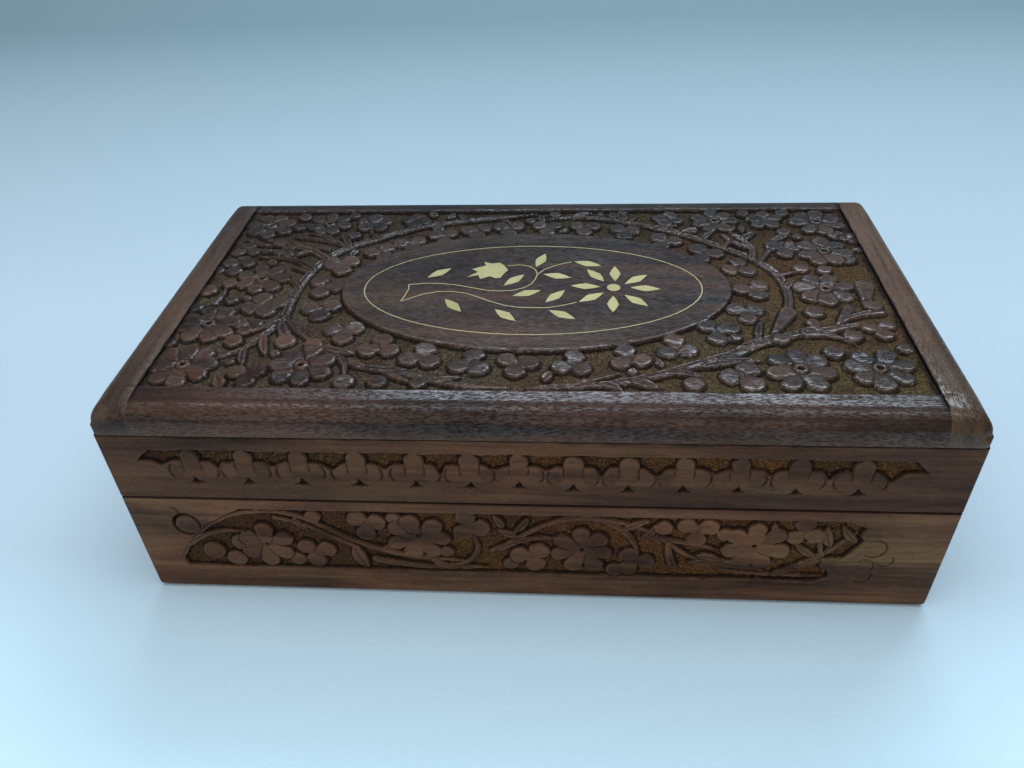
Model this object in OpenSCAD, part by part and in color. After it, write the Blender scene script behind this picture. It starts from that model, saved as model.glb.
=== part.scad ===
// A carved wooden keepsake box with a hinged lid, a brass inlay and a cloth lining.
// The origin is the middle of the underside, +X is to the right, +Y is to the back, where the hinges are.
// All sizes are in millimetres.

/* [Box] */
// Width of the box, left to right
box_w = 240; // [225:1:300]
// Depth of the box, front to back
box_d = 128; // [120:1:170]
// Height of the base walls
base_h = 40.6; // [30:0.1:70]
// Height of the lid walls, under the top board
lid_wall_h = 23.9; // [20:0.1:40]
// Gap between the base and the closed lid
seam = 0.4; // [0.3:0.1:0.6]
// Thickness of the side walls
wall_t = 10; // [9:0.5:13]
// Radius of the round at the foot of the base walls
foot_r = 2; // [0.5:0.1:3]
// Radius of the upright corners of the walls
corner_r = 1; // [0.5:0.1:2]

/* [Top board] */
// Thickness of the top board and of its end strips
board_t = 9.7; // [8:0.1:14]
// Radius of the round along the top edge
edge_r = 6; // [3:0.5:7]
// Radius of the top board's corners, seen from above
board_corner_r = 1.6; // [1.5:0.1:4]
// Width of the end strips
strip_w = 11.4; // [9:0.1:14]
// Length of the tongues that hold the end strips
tongue_l = 4; // [2:0.5:5]
// Thickness of the tongues
tongue_t = 3; // [2:0.5:4]

/* [Carving] */
// Depth of the carved ground below the surface
carve_depth = 1.5; // [1:0.1:2.5]
// Plain border in front of and behind the carved field of the top
field_border = 10.3; // [8:0.1:12]
// Length of the plain oval in the middle of the top
oval_w = 124; // [118:1:130]
// Width of the plain oval in the middle of the top
oval_d = 71; // [64:1:76]
// Width of the carved vines
vine_w = 2.4; // [1.6:0.1:3.2]
// Reach of the carved buds beside the vine
bud_r = 3; // [2:0.1:3.4]
// Plain margin at the left end of the carved bands on the long walls
band_left = 11; // [8:1:20]
// Plain margin at the right end of the base's carved band
base_band_right = 24; // [12:1:28]
// Plain margin at the right end of the lid's carved band
lid_band_right = 14; // [10:1:20]
// Plain margin above the lid's carved band
lid_band_top = 5.2; // [3:0.1:8]
// Height of the lid's carved band
lid_band_h = 4.7; // [3.5:0.1:5.2]
// Plain margin above the base's carved band
base_band_top = 4.1; // [3:0.1:6]
// Plain margin below the base's carved band
base_band_foot = 10.7; // [7:0.1:12]
// Radius of the clover heads in the lid's carved band
clover_r = 2.7; // [2:0.1:3]
// Distance from one clover to the next
clover_pitch = 15.5; // [12:0.1:17]

/* [Bottom] */
// Thickness of the bottom panel
panel_t = 4; // [3:0.5:6]
// Width of the rebate that the bottom panel sits in
rebate_w = 5; // [3.5:0.5:6]
// Gap around the bottom panel
panel_fit = 0.15; // [0.05:0.05:0.4]
// Radius of a nail's shank
nail_r = 0.6; // [0.4:0.1:0.9]
// Radius of a nail's head
nail_head_r = 1.2; // [1:0.1:1.6]
// Length of a nail
nail_l = 12; // [8:1:16]

/* [Lining] */
// Thickness of the lining on the floor and under the top
lining_pad_t = 1.5; // [0.8:0.1:2.5]
// Thickness of the lining on the walls
lining_t = 0.9; // [0.5:0.1:1.5]
// Bare wood left above the lining in the base, and below it in the lid
lining_margin = 1.5; // [1:0.5:4]

/* [Brass inlay] */
// Depth of the brass below the surface
inlay_t = 1.2; // [0.8:0.1:2]
// Width of the brass wires
wire_w = 0.35; // [0.3:0.05:0.8]
// Length of the oval wire
ring_w = 108; // [104:1:112]
// Width of the oval wire
ring_d = 54; // [50:1:58]
// Radius of the disc in the middle of the flower
disc_r = 2.1; // [1.5:0.1:2.6]
// Length of a petal or leaf
petal_l = 9.4; // [8:0.1:10]
// Width of a petal or leaf
petal_w = 3.6; // [3:0.1:4]

/* [Hinges] */
// Distance from the end of the box to the middle of a hinge
hinge_inset = 48; // [30:1:65]
// Length of a hinge
hinge_l = 25; // [20:1:35]
// Radius of the hinge's knuckles
knuckle_r = 2; // [1.8:0.1:2.3]
// Radius of the hinge's pin
pin_r = 0.9; // [0.7:0.05:1]
// Thickness of a hinge leaf
leaf_t = 0.9; // [0.7:0.1:1.1]
// Reach of a hinge leaf from the pin's axis
leaf_reach = 7.2; // [6.4:0.1:7.4]
// Furthest angle that the lid opens to
open_angle = 105; // [95:1:110]
// Radius of a screw's shank
screw_r = 0.9; // [0.7:0.1:1]
// Radius of a screw's head
screw_head_r = 1.7; // [1.4:0.1:1.9]
// Length of a screw
screw_l = 9; // [7:0.5:11]

/* [Hidden] */
$fn = 48;
wood = [0.30, 0.17, 0.10];
strip_wood = [0.33, 0.20, 0.12];
plywood = [0.62, 0.47, 0.30];
velvet = [0.36, 0.03, 0.06];
brass = [0.83, 0.68, 0.33];
steel = [0.62, 0.62, 0.60];

past = 1;                                 // how far a cutter runs past the face that it opens
fit = 0.05;                               // clearance of a screw, nail or pin in its hole
running_gap = 0.15;                       // side gap between two knuckles
knuckle_clear = 0.3;                      // gap around a knuckle in the wood
half_w = box_w / 2;
half_d = box_d / 2;
inner_w = box_w - 2 * wall_t;
inner_d = box_d - 2 * wall_t;
lid_z = base_h + seam;                    // underside of the lid walls
board_z = lid_z + lid_wall_h;             // underside of the top board
top_z = board_z + board_t;                // top of the box
board_w = box_w - 2 * strip_w;            // the top board between its end strips
field_d = box_d - 2 * field_border;
tongue_z = board_z + (board_t - carve_depth - tongue_t) / 2;
base_lining_z = [panel_t + lining_pad_t, base_h - lining_margin];
lid_lining_z = [lid_z + lining_margin, board_z - lining_pad_t];

// The pin's axis lies in the seam, a knuckle's radius inside the back face.
axis_y = half_d - knuckle_r;
axis_z = base_h + seam / 2;
// The back edges are bevelled on both sides of the pin, and meet when the lid is fully open.
bevel_angle = open_angle / 2 + 0.5;
knuckles = 5;
knuckle_l = hinge_l / knuckles;
screws_per_leaf = 3;
screw_pitch = hinge_l / screws_per_leaf;
screw_y = axis_y - (leaf_reach + knuckle_r) / 2 - 0.3;
screw_head_h = 0.8;
slot_w = 0.5;
slot_h = 0.4;

nail_head_h = 0.6;
nail_inset = rebate_w / 2;
nails_along = 4;                          // nails along the front and along the back
nails_across = 2;                         // nails along each end

// The carving of the top, seen from above: the middle of each flower, its reach, its number of
// petals and the way that the first one points.
big_flowers = [
    [[75, -42.7], 10.2, 7, 90], [[96.2, -42.1], 10, 7, -90], [[91, -1], 9.7, 7, 65],
    [[96, 23.1], 9.6, 7, 90], [[98, 44.3], 9.4, 7, 80], [[62.6, 45.3], 8.5, 7, 100],
    [[-99.5, -43], 10.3, 8, 96], [[-64.7, -42.8], 9.9, 7, 75], [[-99.3, -22], 10, 8, 60],
    [[-90.7, 4.9], 9.2, 7, 110], [[-98.8, 42.6], 9.4, 7, 70], [[-77.2, 44], 8.6, 7, 95]
];
small_flowers = [
    [[59.1, -46.4], 6.9, 3, 180], [[55.2, -23.9], 6.9, 3, -100], [[64.6, -13.9], 6.2, 3, -90],
    [[69, -1.1], 6.4, 3, -70], [[66.3, 12.6], 6.2, 3, 85], [[56.5, 21.9], 6.7, 3, -120],
    [[44.2, 30.5], 6.3, 3, -115], [[30.5, 37.8], 6.1, 3, -100], [[16.4, 40.6], 5.9, 3, -95],
    [[3.1, 41], 6, 3, -90], [[-10.8, 40.3], 6, 3, -85], [[-22.2, 38.3], 6.2, 3, -80],
    [[-33.8, 34.2], 6.2, 3, -75], [[-44.5, 29.2], 6.2, 3, -70], [[-54.1, 23], 6.2, 3, -60],
    [[-66, 14.6], 6.9, 3, -75], [[-68.3, 0.4], 6.9, 3, -110], [[-66.3, -13.5], 6.7, 3, -80],
    [[-56.1, -25.4], 6.9, 3, -85], [[-44, -33.3], 6.8, 3, -150], [[-30.9, -38], 6.9, 3, -160],
    [[-16.1, -40.9], 6.8, 3, 80], [[-3, -41.5], 6.6, 3, -100], [[12.8, -41], 6.4, 3, 85],
    [[28.4, -37.8], 6.6, 3, 100], [[42.4, -32.4], 6.6, 3, 100], [[102, -22.8], 5.4, 3, 160],
    [[82.9, 25.3], 6.2, 3, -95], [[80.3, 46], 6.6, 5, 90], [[-85.2, -10.8], 7.4, 4, 20],
    [[-79.6, -47.3], 5.9, 3, -80], [[-102.4, 14], 6.2, 3, -90], [[-87, -22.7], 5.2, 3, -90],
    [[46.3, 47], 6, 4, 70], [[-60.8, 44.8], 7, 5, 90], [[-45.3, 46.7], 5.8, 4, 80]
];
vines = [
    [[-76, -24.2], [-77, -14.3], [-77, -0.4], [-72, 18.5], [-66, 26.5], [-57.1, 32.5], [-40.1, 42.6],
        [-27.2, 46.1], [-12.2, 49.2], [-1.2, 51.7]],
    [[-77, -18.3], [-70.1, -25.2], [-61.1, -33.1], [-54.2, -39.1], [-47.2, -43], [-28.3, -48.4],
        [-17.3, -51.4], [-4.4, -52.4]],
    [[-77, -19.3], [-80, -27.2], [-84, -34.2], [-91.9, -40.2]],
    [[-75, 10.6], [-81, 16.5], [-87.9, 19.4], [-96.9, 19.9]],
    [[-72, 18.5], [-79, 24.5], [-87.9, 27.9], [-97.8, 28.8], [-105.8, 32.3]],
    [[0.6, -52.4], [23.6, -49.8], [35.5, -46.2], [45.5, -42.2], [59.6, -33.2], [73.6, -26.2],
        [87.6, -21.6], [107.2, -19.1]],
    [[69.6, -27.7], [75.6, -16.7], [79.1, -0.7], [78.2, 7.3], [74.7, 14.3], [63.2, 25.7],
        [49.7, 35.6], [31.7, 44.5], [21.7, 47.9], [3.7, 47.3]],
    [[87.6, -21.6], [97.7, -14.6], [106.7, -11.1]],
    [[71.7, 18.2], [72.7, 25.2], [70.7, 31.2], [66.7, 37.2]]
];
buds = [
    [85.6, -34.4], [45.5, -49.7], [83.7, -14.2], [103.3, -10.4], [102.3, 17.8], [86.1, 11.9],
    [102.4, 34.4], [-88.6, -30.9], [-72.7, -30.8], [-41.4, -50], [-50.8, -50.2], [-106.8, -2.3]
];

// The carving of the walls, seen from outside as distance along the wall and height.
band_slant = 12;                          // how far the ends of the base's carved band lean
clovers = 13;                             // clovers along a long wall
end_clovers = 7;                          // clovers along an end wall
base_flowers = [
    [[-80.1, 20.9], 9.2, 6, 85], [[-32.8, 26], 9.8, 7, 100], [[15.9, 21.6], 9.6, 7, 95],
    [[65.9, 25.1], 10.2, 7, 90], [[-65.2, 18], 6.7, 3, -100], [[-47.7, 30.8], 6.5, 3, 140],
    [[-17.1, 30.9], 6.6, 3, 110], [[0.8, 18.3], 6.7, 3, -70], [[31.5, 17.2], 6.2, 3, -120],
    [[49.1, 31.2], 6.4, 3, 150], [[79.3, 31.3], 6, 3, 100], [[-97.5, 17.7], 3.6, 6, 0],
    [[-91, 14.3], 3.3, 6, 0], [[-88, 21.7], 3.2, 6, 0]
];
base_vines = [
    [[-109.4, 12.8], [-104.5, 20.8], [-98.5, 27.3], [-90.6, 32.6], [-82.6, 35.1], [-74.7, 35.5],
        [-67.8, 33.5], [-53.8, 24.4], [-45.9, 20.4], [-37.9, 17.9], [-20, 15.5]],
    [[-104.5, 20.8], [-98.5, 24.6], [-91.6, 26.6], [-85.6, 26.3]],
    [[-46.9, 15.4], [-27, 12.2], [-12.1, 12.9]],
    [[-16.1, 26.5], [-15.1, 21.5], [-21, 14], [-29, 12.1]],
    [[-11.1, 20.5], [-0.2, 28.5], [12.7, 35.1], [19.7, 35.1], [25.6, 32.3], [29.6, 28.1], [32.1, 22.6]],
    [[19.7, 35.3], [27.6, 33.7], [34.6, 30.6], [40.6, 26.1], [51.6, 18], [59.5, 14.3], [71.5, 12.9],
        [87.4, 12.7]],
    [[73.5, 13.3], [85.4, 22.2], [94.3, 32.7]]
];
end_flowers = [
    [[-24.5, 20.6], 9.2, 7, 90], [[25.5, 24], 9.8, 7, 75], [[-43, 15.6], 6, 3, 80],
    [[-5.6, 17.2], 6.5, 3, -95], [[7.6, 30.2], 6, 3, 130], [[41, 30.2], 5.8, 3, 100]
];
end_vines = [
    [[-52, 14], [-46, 22], [-36, 29], [-24, 33.8], [-12, 33.4], [-3, 28.5], [2, 24]],
    [[0, 25], [8, 19], [18, 14], [30, 12.2], [50, 12.6]],
    [[36, 13], [42, 18], [45, 25], [50, 31]]
];

// The inlaid sprig, as points and angles on the top, seen from above.
ring_at = [-0.8, -0.7];
flower_at = [25.4, -1];
petals = [                                // middle of each petal and the way that it points
    [[26.1, 7.6], 89], [[32.7, 4.1], 38], [[35.4, -1.4], -6], [[32.1, -8.6], -43],
    [[24.9, -10.7], -92], [[18.3, -6.8], 35], [[16.5, -0.2], -4], [[19.8, 6.6], -55]
];
leaves = [
    [[-31.5, 8.1], 40], [[-24.7, -11.7], -51], [[-8, -17.1], -44], [[-6.5, 3.6], 48], [[-2, -4.4], 21],
    [[1.7, 16.4], 72], [[7.4, 6.2], -14], [[7, -6.2], 51], [[9.3, -16.7], -31], [[17.3, 14.1], -18]
];
stem_upper = [[-40.6, 0.6], [-35.8, 1.5], [-30.2, 1.4], [-25.5, 0.6], [-20.7, -0.9], [-14.5, -2.9],
    [-10.8, -3.2], [-6.7, -2.8], [-3.2, -1.3], [-1, 0.9], [0.3, 4], [0.9, 7.2], [0.2, 10.1],
    [-1.8, 12.4], [-5.2, 13.4], [-9.2, 12.7]];
stem_lower = [[-41.5, -9.4], [-38.2, -7.2], [-34.9, -5.1], [-30.5, -3.6], [-25.9, -3.5], [-21.7, -4.4],
    [-17.8, -6.5], [-13, -9.4], [-8.4, -11.7], [-4.2, -12.7], [0.7, -12.9], [5.1, -12.8], [8.6, -11.8],
    [11.7, -10.6], [13.6, -9.8]];
stem_branch = [[0.9, 7.2], [3, 10.2], [6.3, 12.7], [10, 14.6], [12.1, 15.2]];
stem_end = [[-40.6, 0.6], [-40.1, -1.9], [-40.7, -5.8], [-41.5, -9.4]];
lobed_leaf = [[-8.9, 9.9], [-10.4, 13.1], [-12.1, 14.8], [-14.6, 14.2], [-17.3, 15.3], [-16.4, 12.9],
    [-20.9, 10.6], [-18.7, 8.8], [-22, 5.5], [-18.4, 6.7], [-17.7, 4.2], [-14.6, 6], [-12.6, 4.7],
    [-11, 5.1], [-10, 7.9]];

// Shapes that the parts share

// A box from its lowest corner, by its size.
module block(low, size) {
    translate(low) cube(size);
}

// What a round takes off an edge that runs along X through the origin, with the wood at +Y and +Z.
module edge_round(r, len) {
    rotate([90, 0, 90])
        linear_extrude(height = len, center = true)
            difference() {
                translate([-past, -past]) square(r + past);
                translate([r, r]) circle(r);
            }
}

// The same for the left edge of a face, which runs along Z.
module upright_round(r, len) {
    linear_extrude(height = len, center = true)
        difference() {
            translate([-past, -past]) square(r + past);
            translate([r, r]) circle(r);
        }
}

module both_sides() {
    children();
    mirror([1, 0, 0]) children();
}

module front_and_back() {
    children();
    mirror([0, 1, 0]) children();
}

// An ellipse as a polygon of points.
function ellipse(w, d, sides = 96) =
    [for (i = [0 : sides - 1]) [w / 2 * cos(360 * i / sides), d / 2 * sin(360 * i / sides)]];

// Unit vector square to the line at point i of a list.
function normal_at(points, i) =
    let (
        before = points[max(i - 1, 0)],
        after = points[min(i + 1, len(points) - 1)],
        along = after - before
    )
    [-along[1], along[0]] / norm(along);

// Outline of a line of width w through the points.
function stroke(points, w) = concat(
    [for (i = [0 : len(points) - 1]) points[i] + normal_at(points, i) * w / 2],
    [for (i = [len(points) - 1 : -1 : 0]) points[i] - normal_at(points, i) * w / 2]
);

// Outline of a leaf with two pointed ends, its middle at the origin.
function leaf_outline(l, w) =
    [[-l / 2, 0], [-l / 4, -w * 0.3], [0, -w / 2], [l / 4, -w * 0.3],
        [l / 2, 0], [l / 4, w * 0.3], [0, w / 2], [-l / 4, w * 0.3]];

// Outline of a flower: four points for each petal, from the notch beside it round its head.
function flower_outline(reach, count, turn) =
    let (
        notch = count > 4 ? 0.77 : 0.45,
        shoulder = count > 4 ? 0.95 : 0.89,
        radii = [notch, shoulder, 1, shoulder]
    )
    [for (i = [0 : 4 * count - 1])
        let (angle = turn + (i / 4 - 0.5) * 360 / count)
        reach * radii[i % 4] * [cos(angle), sin(angle)]];

// Vines and the flowers on them, which stand up from a carved ground.
module vine_outline(lines, flowers) {
    for (line = lines) polygon(stroke(line, vine_w));
    for (flower = flowers)
        translate(flower[0]) polygon(flower_outline(flower[1], flower[2], flower[3]));
}

// Turns what points up to point down, for the base's half of a hinge.
module facing(up) {
    if (up > 0) children();
    else mirror([0, 0, 1]) children();
}

// Stands its child on the pin's axis, in the middle of one hinge or of both.
module at_hinge(side) {
    translate([side * (half_w - hinge_inset), axis_y, axis_z]) children();
}

module at_both_hinges() {
    for (side = [-1, 1]) at_hinge(side) children();
}

// Walls

// The carved ground of a band, sunk into a wall's front face, w wide from z_low to z_high.
module band_pocket(low_ends, high_ends, y_face, z_low, z_high) {
    translate([0, y_face + carve_depth, 0])
        rotate([90, 0, 0])
            linear_extrude(height = carve_depth + past)
                difference() {
                    polygon([[low_ends[0], z_low], [low_ends[1], z_low],
                        [high_ends[1], z_high], [high_ends[0], z_high]]);
                    children();
                }
}

// The carved ground of a base wall on the long side.
module base_band() {
    left = -half_w + band_left;
    right = half_w - base_band_right;
    band_pocket([left, right - band_slant], [left + 2 * band_slant, right], -half_d,
        base_band_foot, base_h - base_band_top)
        vine_outline(base_vines, base_flowers);
}

// The carved ground of a base wall at the end.
module base_end_band() {
    reach = inner_d / 2 - lining_margin;
    band_pocket([-reach, reach], [-reach, reach], -half_w, base_band_foot, base_h - base_band_top)
        vine_outline(end_vines, end_flowers);
}

// The carved ground of a lid wall: x gives its two ends.
module lid_band(x, y_face, count) {
    high = board_z - lid_band_top;
    low = high - lid_band_h;
    band_pocket(x, x, y_face, low, high)
        for (i = [0 : count - 1])
            translate([(x[0] + x[1]) / 2 + (i - (count - 1) / 2) * clover_pitch, (low + high) / 2])
                circle(clover_r, $fn = 8);
}

module long_lid_band() {
    lid_band([-half_w + band_left, half_w - lid_band_right], -half_d, clovers);
}

module end_lid_band() {
    reach = inner_d / 2 - lining_margin;
    lid_band([-reach, reach], -half_w, end_clovers);
}

// Bevel along a back edge: the wedge between the seam and bevel_angle, behind the pin's axis.
module back_bevel(up) {
    reach = 3 * knuckle_r;
    translate([0, axis_y, axis_z])
        rotate([90, 0, 90])
            linear_extrude(height = box_w + 2 * past, center = true)
                polygon([
                    [0, 0], [reach, 0],
                    [reach, up * reach * tan(bevel_angle)]
                ]);
}

// Room for the hinges' knuckles and leaves in a back wall; up is 1 for the lid and -1 for the base.
module hinge_mortises(up) {
    room = hinge_l + 2 * fit;
    at_both_hinges() {
        rotate([0, 90, 0]) cylinder(r = knuckle_r + knuckle_clear, h = room, center = true);
        depth = seam / 2 + leaf_t;
        block([-room / 2, -leaf_reach - fit, up > 0 ? 0 : -depth], [room, leaf_reach + fit, depth]);
    }
}

// Pilot holes of the hinge screws in a back wall.
module screw_holes(up) {
    at_both_hinges() for (i = [0 : screws_per_leaf - 1])
        translate([(i - (screws_per_leaf - 1) / 2) * screw_pitch, screw_y - axis_y, up * seam / 2])
            facing(up) cylinder(r = screw_r + fit, h = screw_l + fit);
}

// A wall of full width, at the front of the box, from z_low to z_high.
module front_board(z_low, z_high) {
    h = z_high - z_low;
    difference() {
        block([-half_w, -half_d, z_low], [box_w, wall_t, h]);
        both_sides()
            translate([-half_w, -half_d, z_low + h / 2]) upright_round(corner_r, h + 2 * past);
    }
}

// A wall between the front and the back board, at the left end of the box.
module end_board(z_low, z_high) {
    block([-half_w, -inner_d / 2, z_low], [wall_t, inner_d, z_high - z_low]);
}

// What the bottom takes off every base wall: the rebate, the nail holes and the rounded foot.
module bottom_cuts() {
    rebate_d = inner_d + 2 * rebate_w;
    block([-inner_w / 2 - rebate_w, -rebate_d / 2, -past], [inner_w + 2 * rebate_w, rebate_d, panel_t + past]);
    at_nails() cylinder(r = nail_r + fit, h = nail_l + fit);
    front_and_back() translate([0, -half_d, 0]) edge_round(foot_r, box_w + 2 * past);
    both_sides() translate([-half_w, 0, 0]) rotate([0, 0, -90]) edge_round(foot_r, box_d + 2 * past);
}

module base_front_wall() {
    color(wood)
        difference() {
            front_board(0, base_h);
            base_band();
            bottom_cuts();
        }
}

module base_back_wall() {
    color(wood)
        difference() {
            mirror([0, 1, 0]) front_board(0, base_h);
            mirror([0, 1, 0]) base_band();
            bottom_cuts();
            back_bevel(-1);
            hinge_mortises(-1);
            screw_holes(-1);
        }
}

module base_end_wall() {
    color(wood)
        difference() {
            end_board(0, base_h);
            rotate([0, 0, -90]) base_end_band();
            bottom_cuts();
        }
}

module lid_front_wall() {
    color(wood)
        difference() {
            front_board(lid_z, board_z);
            long_lid_band();
        }
}

module lid_back_wall() {
    color(wood)
        difference() {
            mirror([0, 1, 0]) front_board(lid_z, board_z);
            mirror([0, 1, 0]) long_lid_band();
            back_bevel(1);
            hinge_mortises(1);
            screw_holes(1);
        }
}

module lid_end_wall() {
    color(wood)
        difference() {
            end_board(lid_z, board_z);
            rotate([0, 0, -90]) end_lid_band();
        }
}

// Bottom panel and its nails

// Stands its child at each nail, on the underside.
module at_nails() {
    x = inner_w / 2 + rebate_w - nail_inset;
    y = inner_d / 2 + rebate_w - nail_inset;
    for (i = [0 : nails_along - 1], side = [-1, 1])
        translate([(i - (nails_along - 1) / 2) * 2 * x * 0.9 / (nails_along - 1), side * y, 0]) children();
    for (i = [0 : nails_across - 1], side = [-1, 1])
        translate([side * x, (i - (nails_across - 1) / 2) * y / (nails_across - 1), 0]) children();
}

module base_bottom_panel() {
    w = inner_w + 2 * rebate_w - 2 * panel_fit;
    d = inner_d + 2 * rebate_w - 2 * panel_fit;
    color(plywood)
        difference() {
            block([-w / 2, -d / 2, 0], [w, d, panel_t]);
            at_nails() {
                translate([0, 0, -past]) cylinder(r = nail_r + fit, h = panel_t + 2 * past);
                translate([0, 0, -past]) cylinder(r = nail_head_r + fit, h = nail_head_h + past);
            }
        }
}

module bottom_panel_nails() {
    color(steel)
        at_nails() {
            cylinder(r = nail_r, h = nail_l);
            cylinder(r = nail_head_r, h = nail_head_h);
        }
}

// Cloth lining

// Lining along the inside of the front, from z_low to z_high.
module long_lining(z_low, z_high) {
    color(velvet) block([-inner_w / 2, -inner_d / 2, z_low], [inner_w, lining_t, z_high - z_low]);
}

// Lining along the inside of the left end, between the two long ones.
module short_lining(z_low, z_high) {
    color(velvet)
        block([-inner_w / 2, -inner_d / 2 + lining_t, z_low], [lining_t, inner_d - 2 * lining_t, z_high - z_low]);
}

module base_lining_floor() {
    color(velvet) block([-inner_w / 2, -inner_d / 2, panel_t], [inner_w, inner_d, lining_pad_t]);
}

module lid_lining_top() {
    color(velvet)
        block([-inner_w / 2, -inner_d / 2, board_z - lining_pad_t], [inner_w, inner_d, lining_pad_t]);
}

// Top board and its end strips

// The rounded block that the top board and its end strips are cut from.
module top_blank() {
    difference() {
        block([-half_w, -half_d, board_z], [box_w, box_d, board_t]);
        front_and_back()
            translate([0, -half_d, top_z]) mirror([0, 0, 1]) edge_round(edge_r, box_w + 2 * past);
        both_sides()
            translate([-half_w, 0, top_z])
                rotate([0, 0, -90]) mirror([0, 0, 1]) edge_round(edge_r, box_d + 2 * past);
        both_sides() front_and_back()
            translate([-half_w, -half_d, board_z + board_t / 2])
                upright_round(board_corner_r, board_t + 2 * past);
    }
}

// Tongues at both ends of the top board, grown by a clearance where they are cut out of the strips.
module tongues(clear = 0) {
    d = box_d - 2 * edge_r;
    both_sides()
        block([-board_w / 2 - tongue_l - clear, -d / 2 - clear, tongue_z - clear],
            [tongue_l + clear + past, d + 2 * clear, tongue_t + 2 * clear]);
}

// What stands up from the carved ground of the top: the oval, the vines and the flowers.
module relief_outline() {
    polygon(ellipse(oval_w, oval_d));
    vine_outline(vines, concat(big_flowers, small_flowers));
    for (bud = buds) translate(bud) circle(bud_r, $fn = 8);
}

module carved_field() {
    translate([0, 0, top_z - carve_depth])
        linear_extrude(height = carve_depth + past)
            difference() {
                square([board_w + 2 * past, field_d], center = true);
                relief_outline();
            }
}

module lid_top_board() {
    color(wood) {
        difference() {
            intersection() {
                top_blank();
                block([-board_w / 2, -half_d, board_z], [board_w, box_d, board_t]);
            }
            carved_field();
            inlay_room() border_wire_outline();
            inlay_room() stem_outline();
            inlay_room() leaves_outline();
            inlay_room() polygon(lobed_leaf);
            inlay_room() petals_outline();
            inlay_room() disc_outline();
        }
        difference() {
            tongues();
            block([-board_w / 2, -half_d, board_z], [board_w, box_d, board_t]);
        }
    }
}

module lid_end_strip_left() {
    color(strip_wood)
        difference() {
            intersection() {
                top_blank();
                block([-half_w, -half_d, board_z], [strip_w, box_d, board_t]);
            }
            tongues(fit);
        }
}

// Brass inlay

// A depth of brass, or the room for it, under the top face.
module inlay(h = inlay_t) {
    translate([0, 0, top_z - inlay_t]) linear_extrude(height = h) children();
}

module inlay_room() {
    inlay(inlay_t + past) children();
}

module border_wire_outline() {
    translate(ring_at)
        difference() {
            polygon(ellipse(ring_w, ring_d));
            polygon(ellipse(ring_w - 2 * wire_w, ring_d - 2 * wire_w));
        }
}

module stem_outline() {
    polygon(stroke(stem_upper, wire_w));
    polygon(stroke(stem_lower, wire_w));
    polygon(stroke(stem_branch, wire_w));
    polygon(stroke(stem_end, wire_w));
}

module leaves_outline() {
    for (leaf = leaves) translate(leaf[0]) rotate(leaf[1]) polygon(leaf_outline(petal_l, petal_w));
}

module petals_outline() {
    for (petal = petals) translate(petal[0]) rotate(petal[1]) polygon(leaf_outline(petal_l, petal_w));
}

module disc_outline() {
    translate(flower_at) circle(disc_r);
}

// Hinges

// A stack of knuckles along X with the pin's bore; first is 0 for the base leaf and 1 for the lid leaf.
module knuckle_row(first) {
    for (i = [first : 2 : knuckles - 1])
        translate([-hinge_l / 2 + (i + 0.5) * knuckle_l, 0, 0]) children();
}

// One leaf about the pin's axis; up is 1 for the lid leaf, which lies over the seam.
module hinge_leaf(up) {
    plate_z = up > 0 ? seam / 2 : -seam / 2 - leaf_t;
    clear = knuckle_r + running_gap;
    first = up > 0 ? 1 : 0;
    own_l = knuckle_l - running_gap;
    color(brass)
        difference() {
            union() {
                block([-hinge_l / 2, -leaf_reach, plate_z], [hinge_l, leaf_reach - clear, leaf_t]);
                knuckle_row(first) {
                    block([-own_l / 2, -clear - past, plate_z], [own_l, clear + past, leaf_t]);
                    rotate([0, 90, 0]) cylinder(r = knuckle_r, h = own_l, center = true);
                }
            }
            rotate([0, 90, 0]) cylinder(r = pin_r + fit, h = hinge_l + 2 * past, center = true);
            for (i = [0 : screws_per_leaf - 1])
                translate([(i - (screws_per_leaf - 1) / 2) * screw_pitch, screw_y - axis_y, up * seam / 2])
                    facing(up) screw_body(fit);
        }
}

module hinge_pin() {
    color(brass) rotate([0, 90, 0]) cylinder(r = pin_r, h = hinge_l, center = true);
}

// A countersunk screw from its head's face at the origin, pointing up, grown by a clearance.
module screw_body(clear = 0) {
    rotate_extrude()
        polygon([
            [0, -clear], [screw_head_r + clear, -clear], [screw_head_r + clear, 0],
            [screw_r + clear, screw_head_h], [screw_r + clear, screw_l], [0, screw_l]
        ]);
}

module screw() {
    difference() {
        screw_body();
        block([-screw_head_r - past, -slot_w / 2, -past], [2 * (screw_head_r + past), slot_w, slot_h + past]);
    }
}

// The screws of one leaf; up is 1 for the lid, whose screws point up.
module leaf_screws(up) {
    color(brass)
        for (i = [0 : screws_per_leaf - 1])
            translate([(i - (screws_per_leaf - 1) / 2) * screw_pitch, screw_y - axis_y, up * seam / 2])
                facing(up) rotate(25 * (i + 1)) screw();
}

base_front_wall();
base_back_wall();
base_end_wall();  // base_left_wall
mirror([1, 0, 0]) base_end_wall();  // base_right_wall
base_bottom_panel();
bottom_panel_nails();
base_lining_floor();
long_lining(base_lining_z[0], base_lining_z[1]);  // base_lining_front
mirror([0, 1, 0]) long_lining(base_lining_z[0], base_lining_z[1]);  // base_lining_back
short_lining(base_lining_z[0], base_lining_z[1]);  // base_lining_left
mirror([1, 0, 0]) short_lining(base_lining_z[0], base_lining_z[1]);  // base_lining_right
lid_front_wall();
lid_back_wall();
lid_end_wall();  // lid_left_wall
mirror([1, 0, 0]) lid_end_wall();  // lid_right_wall
lid_top_board();
lid_end_strip_left();
mirror([1, 0, 0]) lid_end_strip_left();  // lid_end_strip_right
lid_lining_top();
long_lining(lid_lining_z[0], lid_lining_z[1]);  // lid_lining_front
mirror([0, 1, 0]) long_lining(lid_lining_z[0], lid_lining_z[1]);  // lid_lining_back
short_lining(lid_lining_z[0], lid_lining_z[1]);  // lid_lining_left
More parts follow.
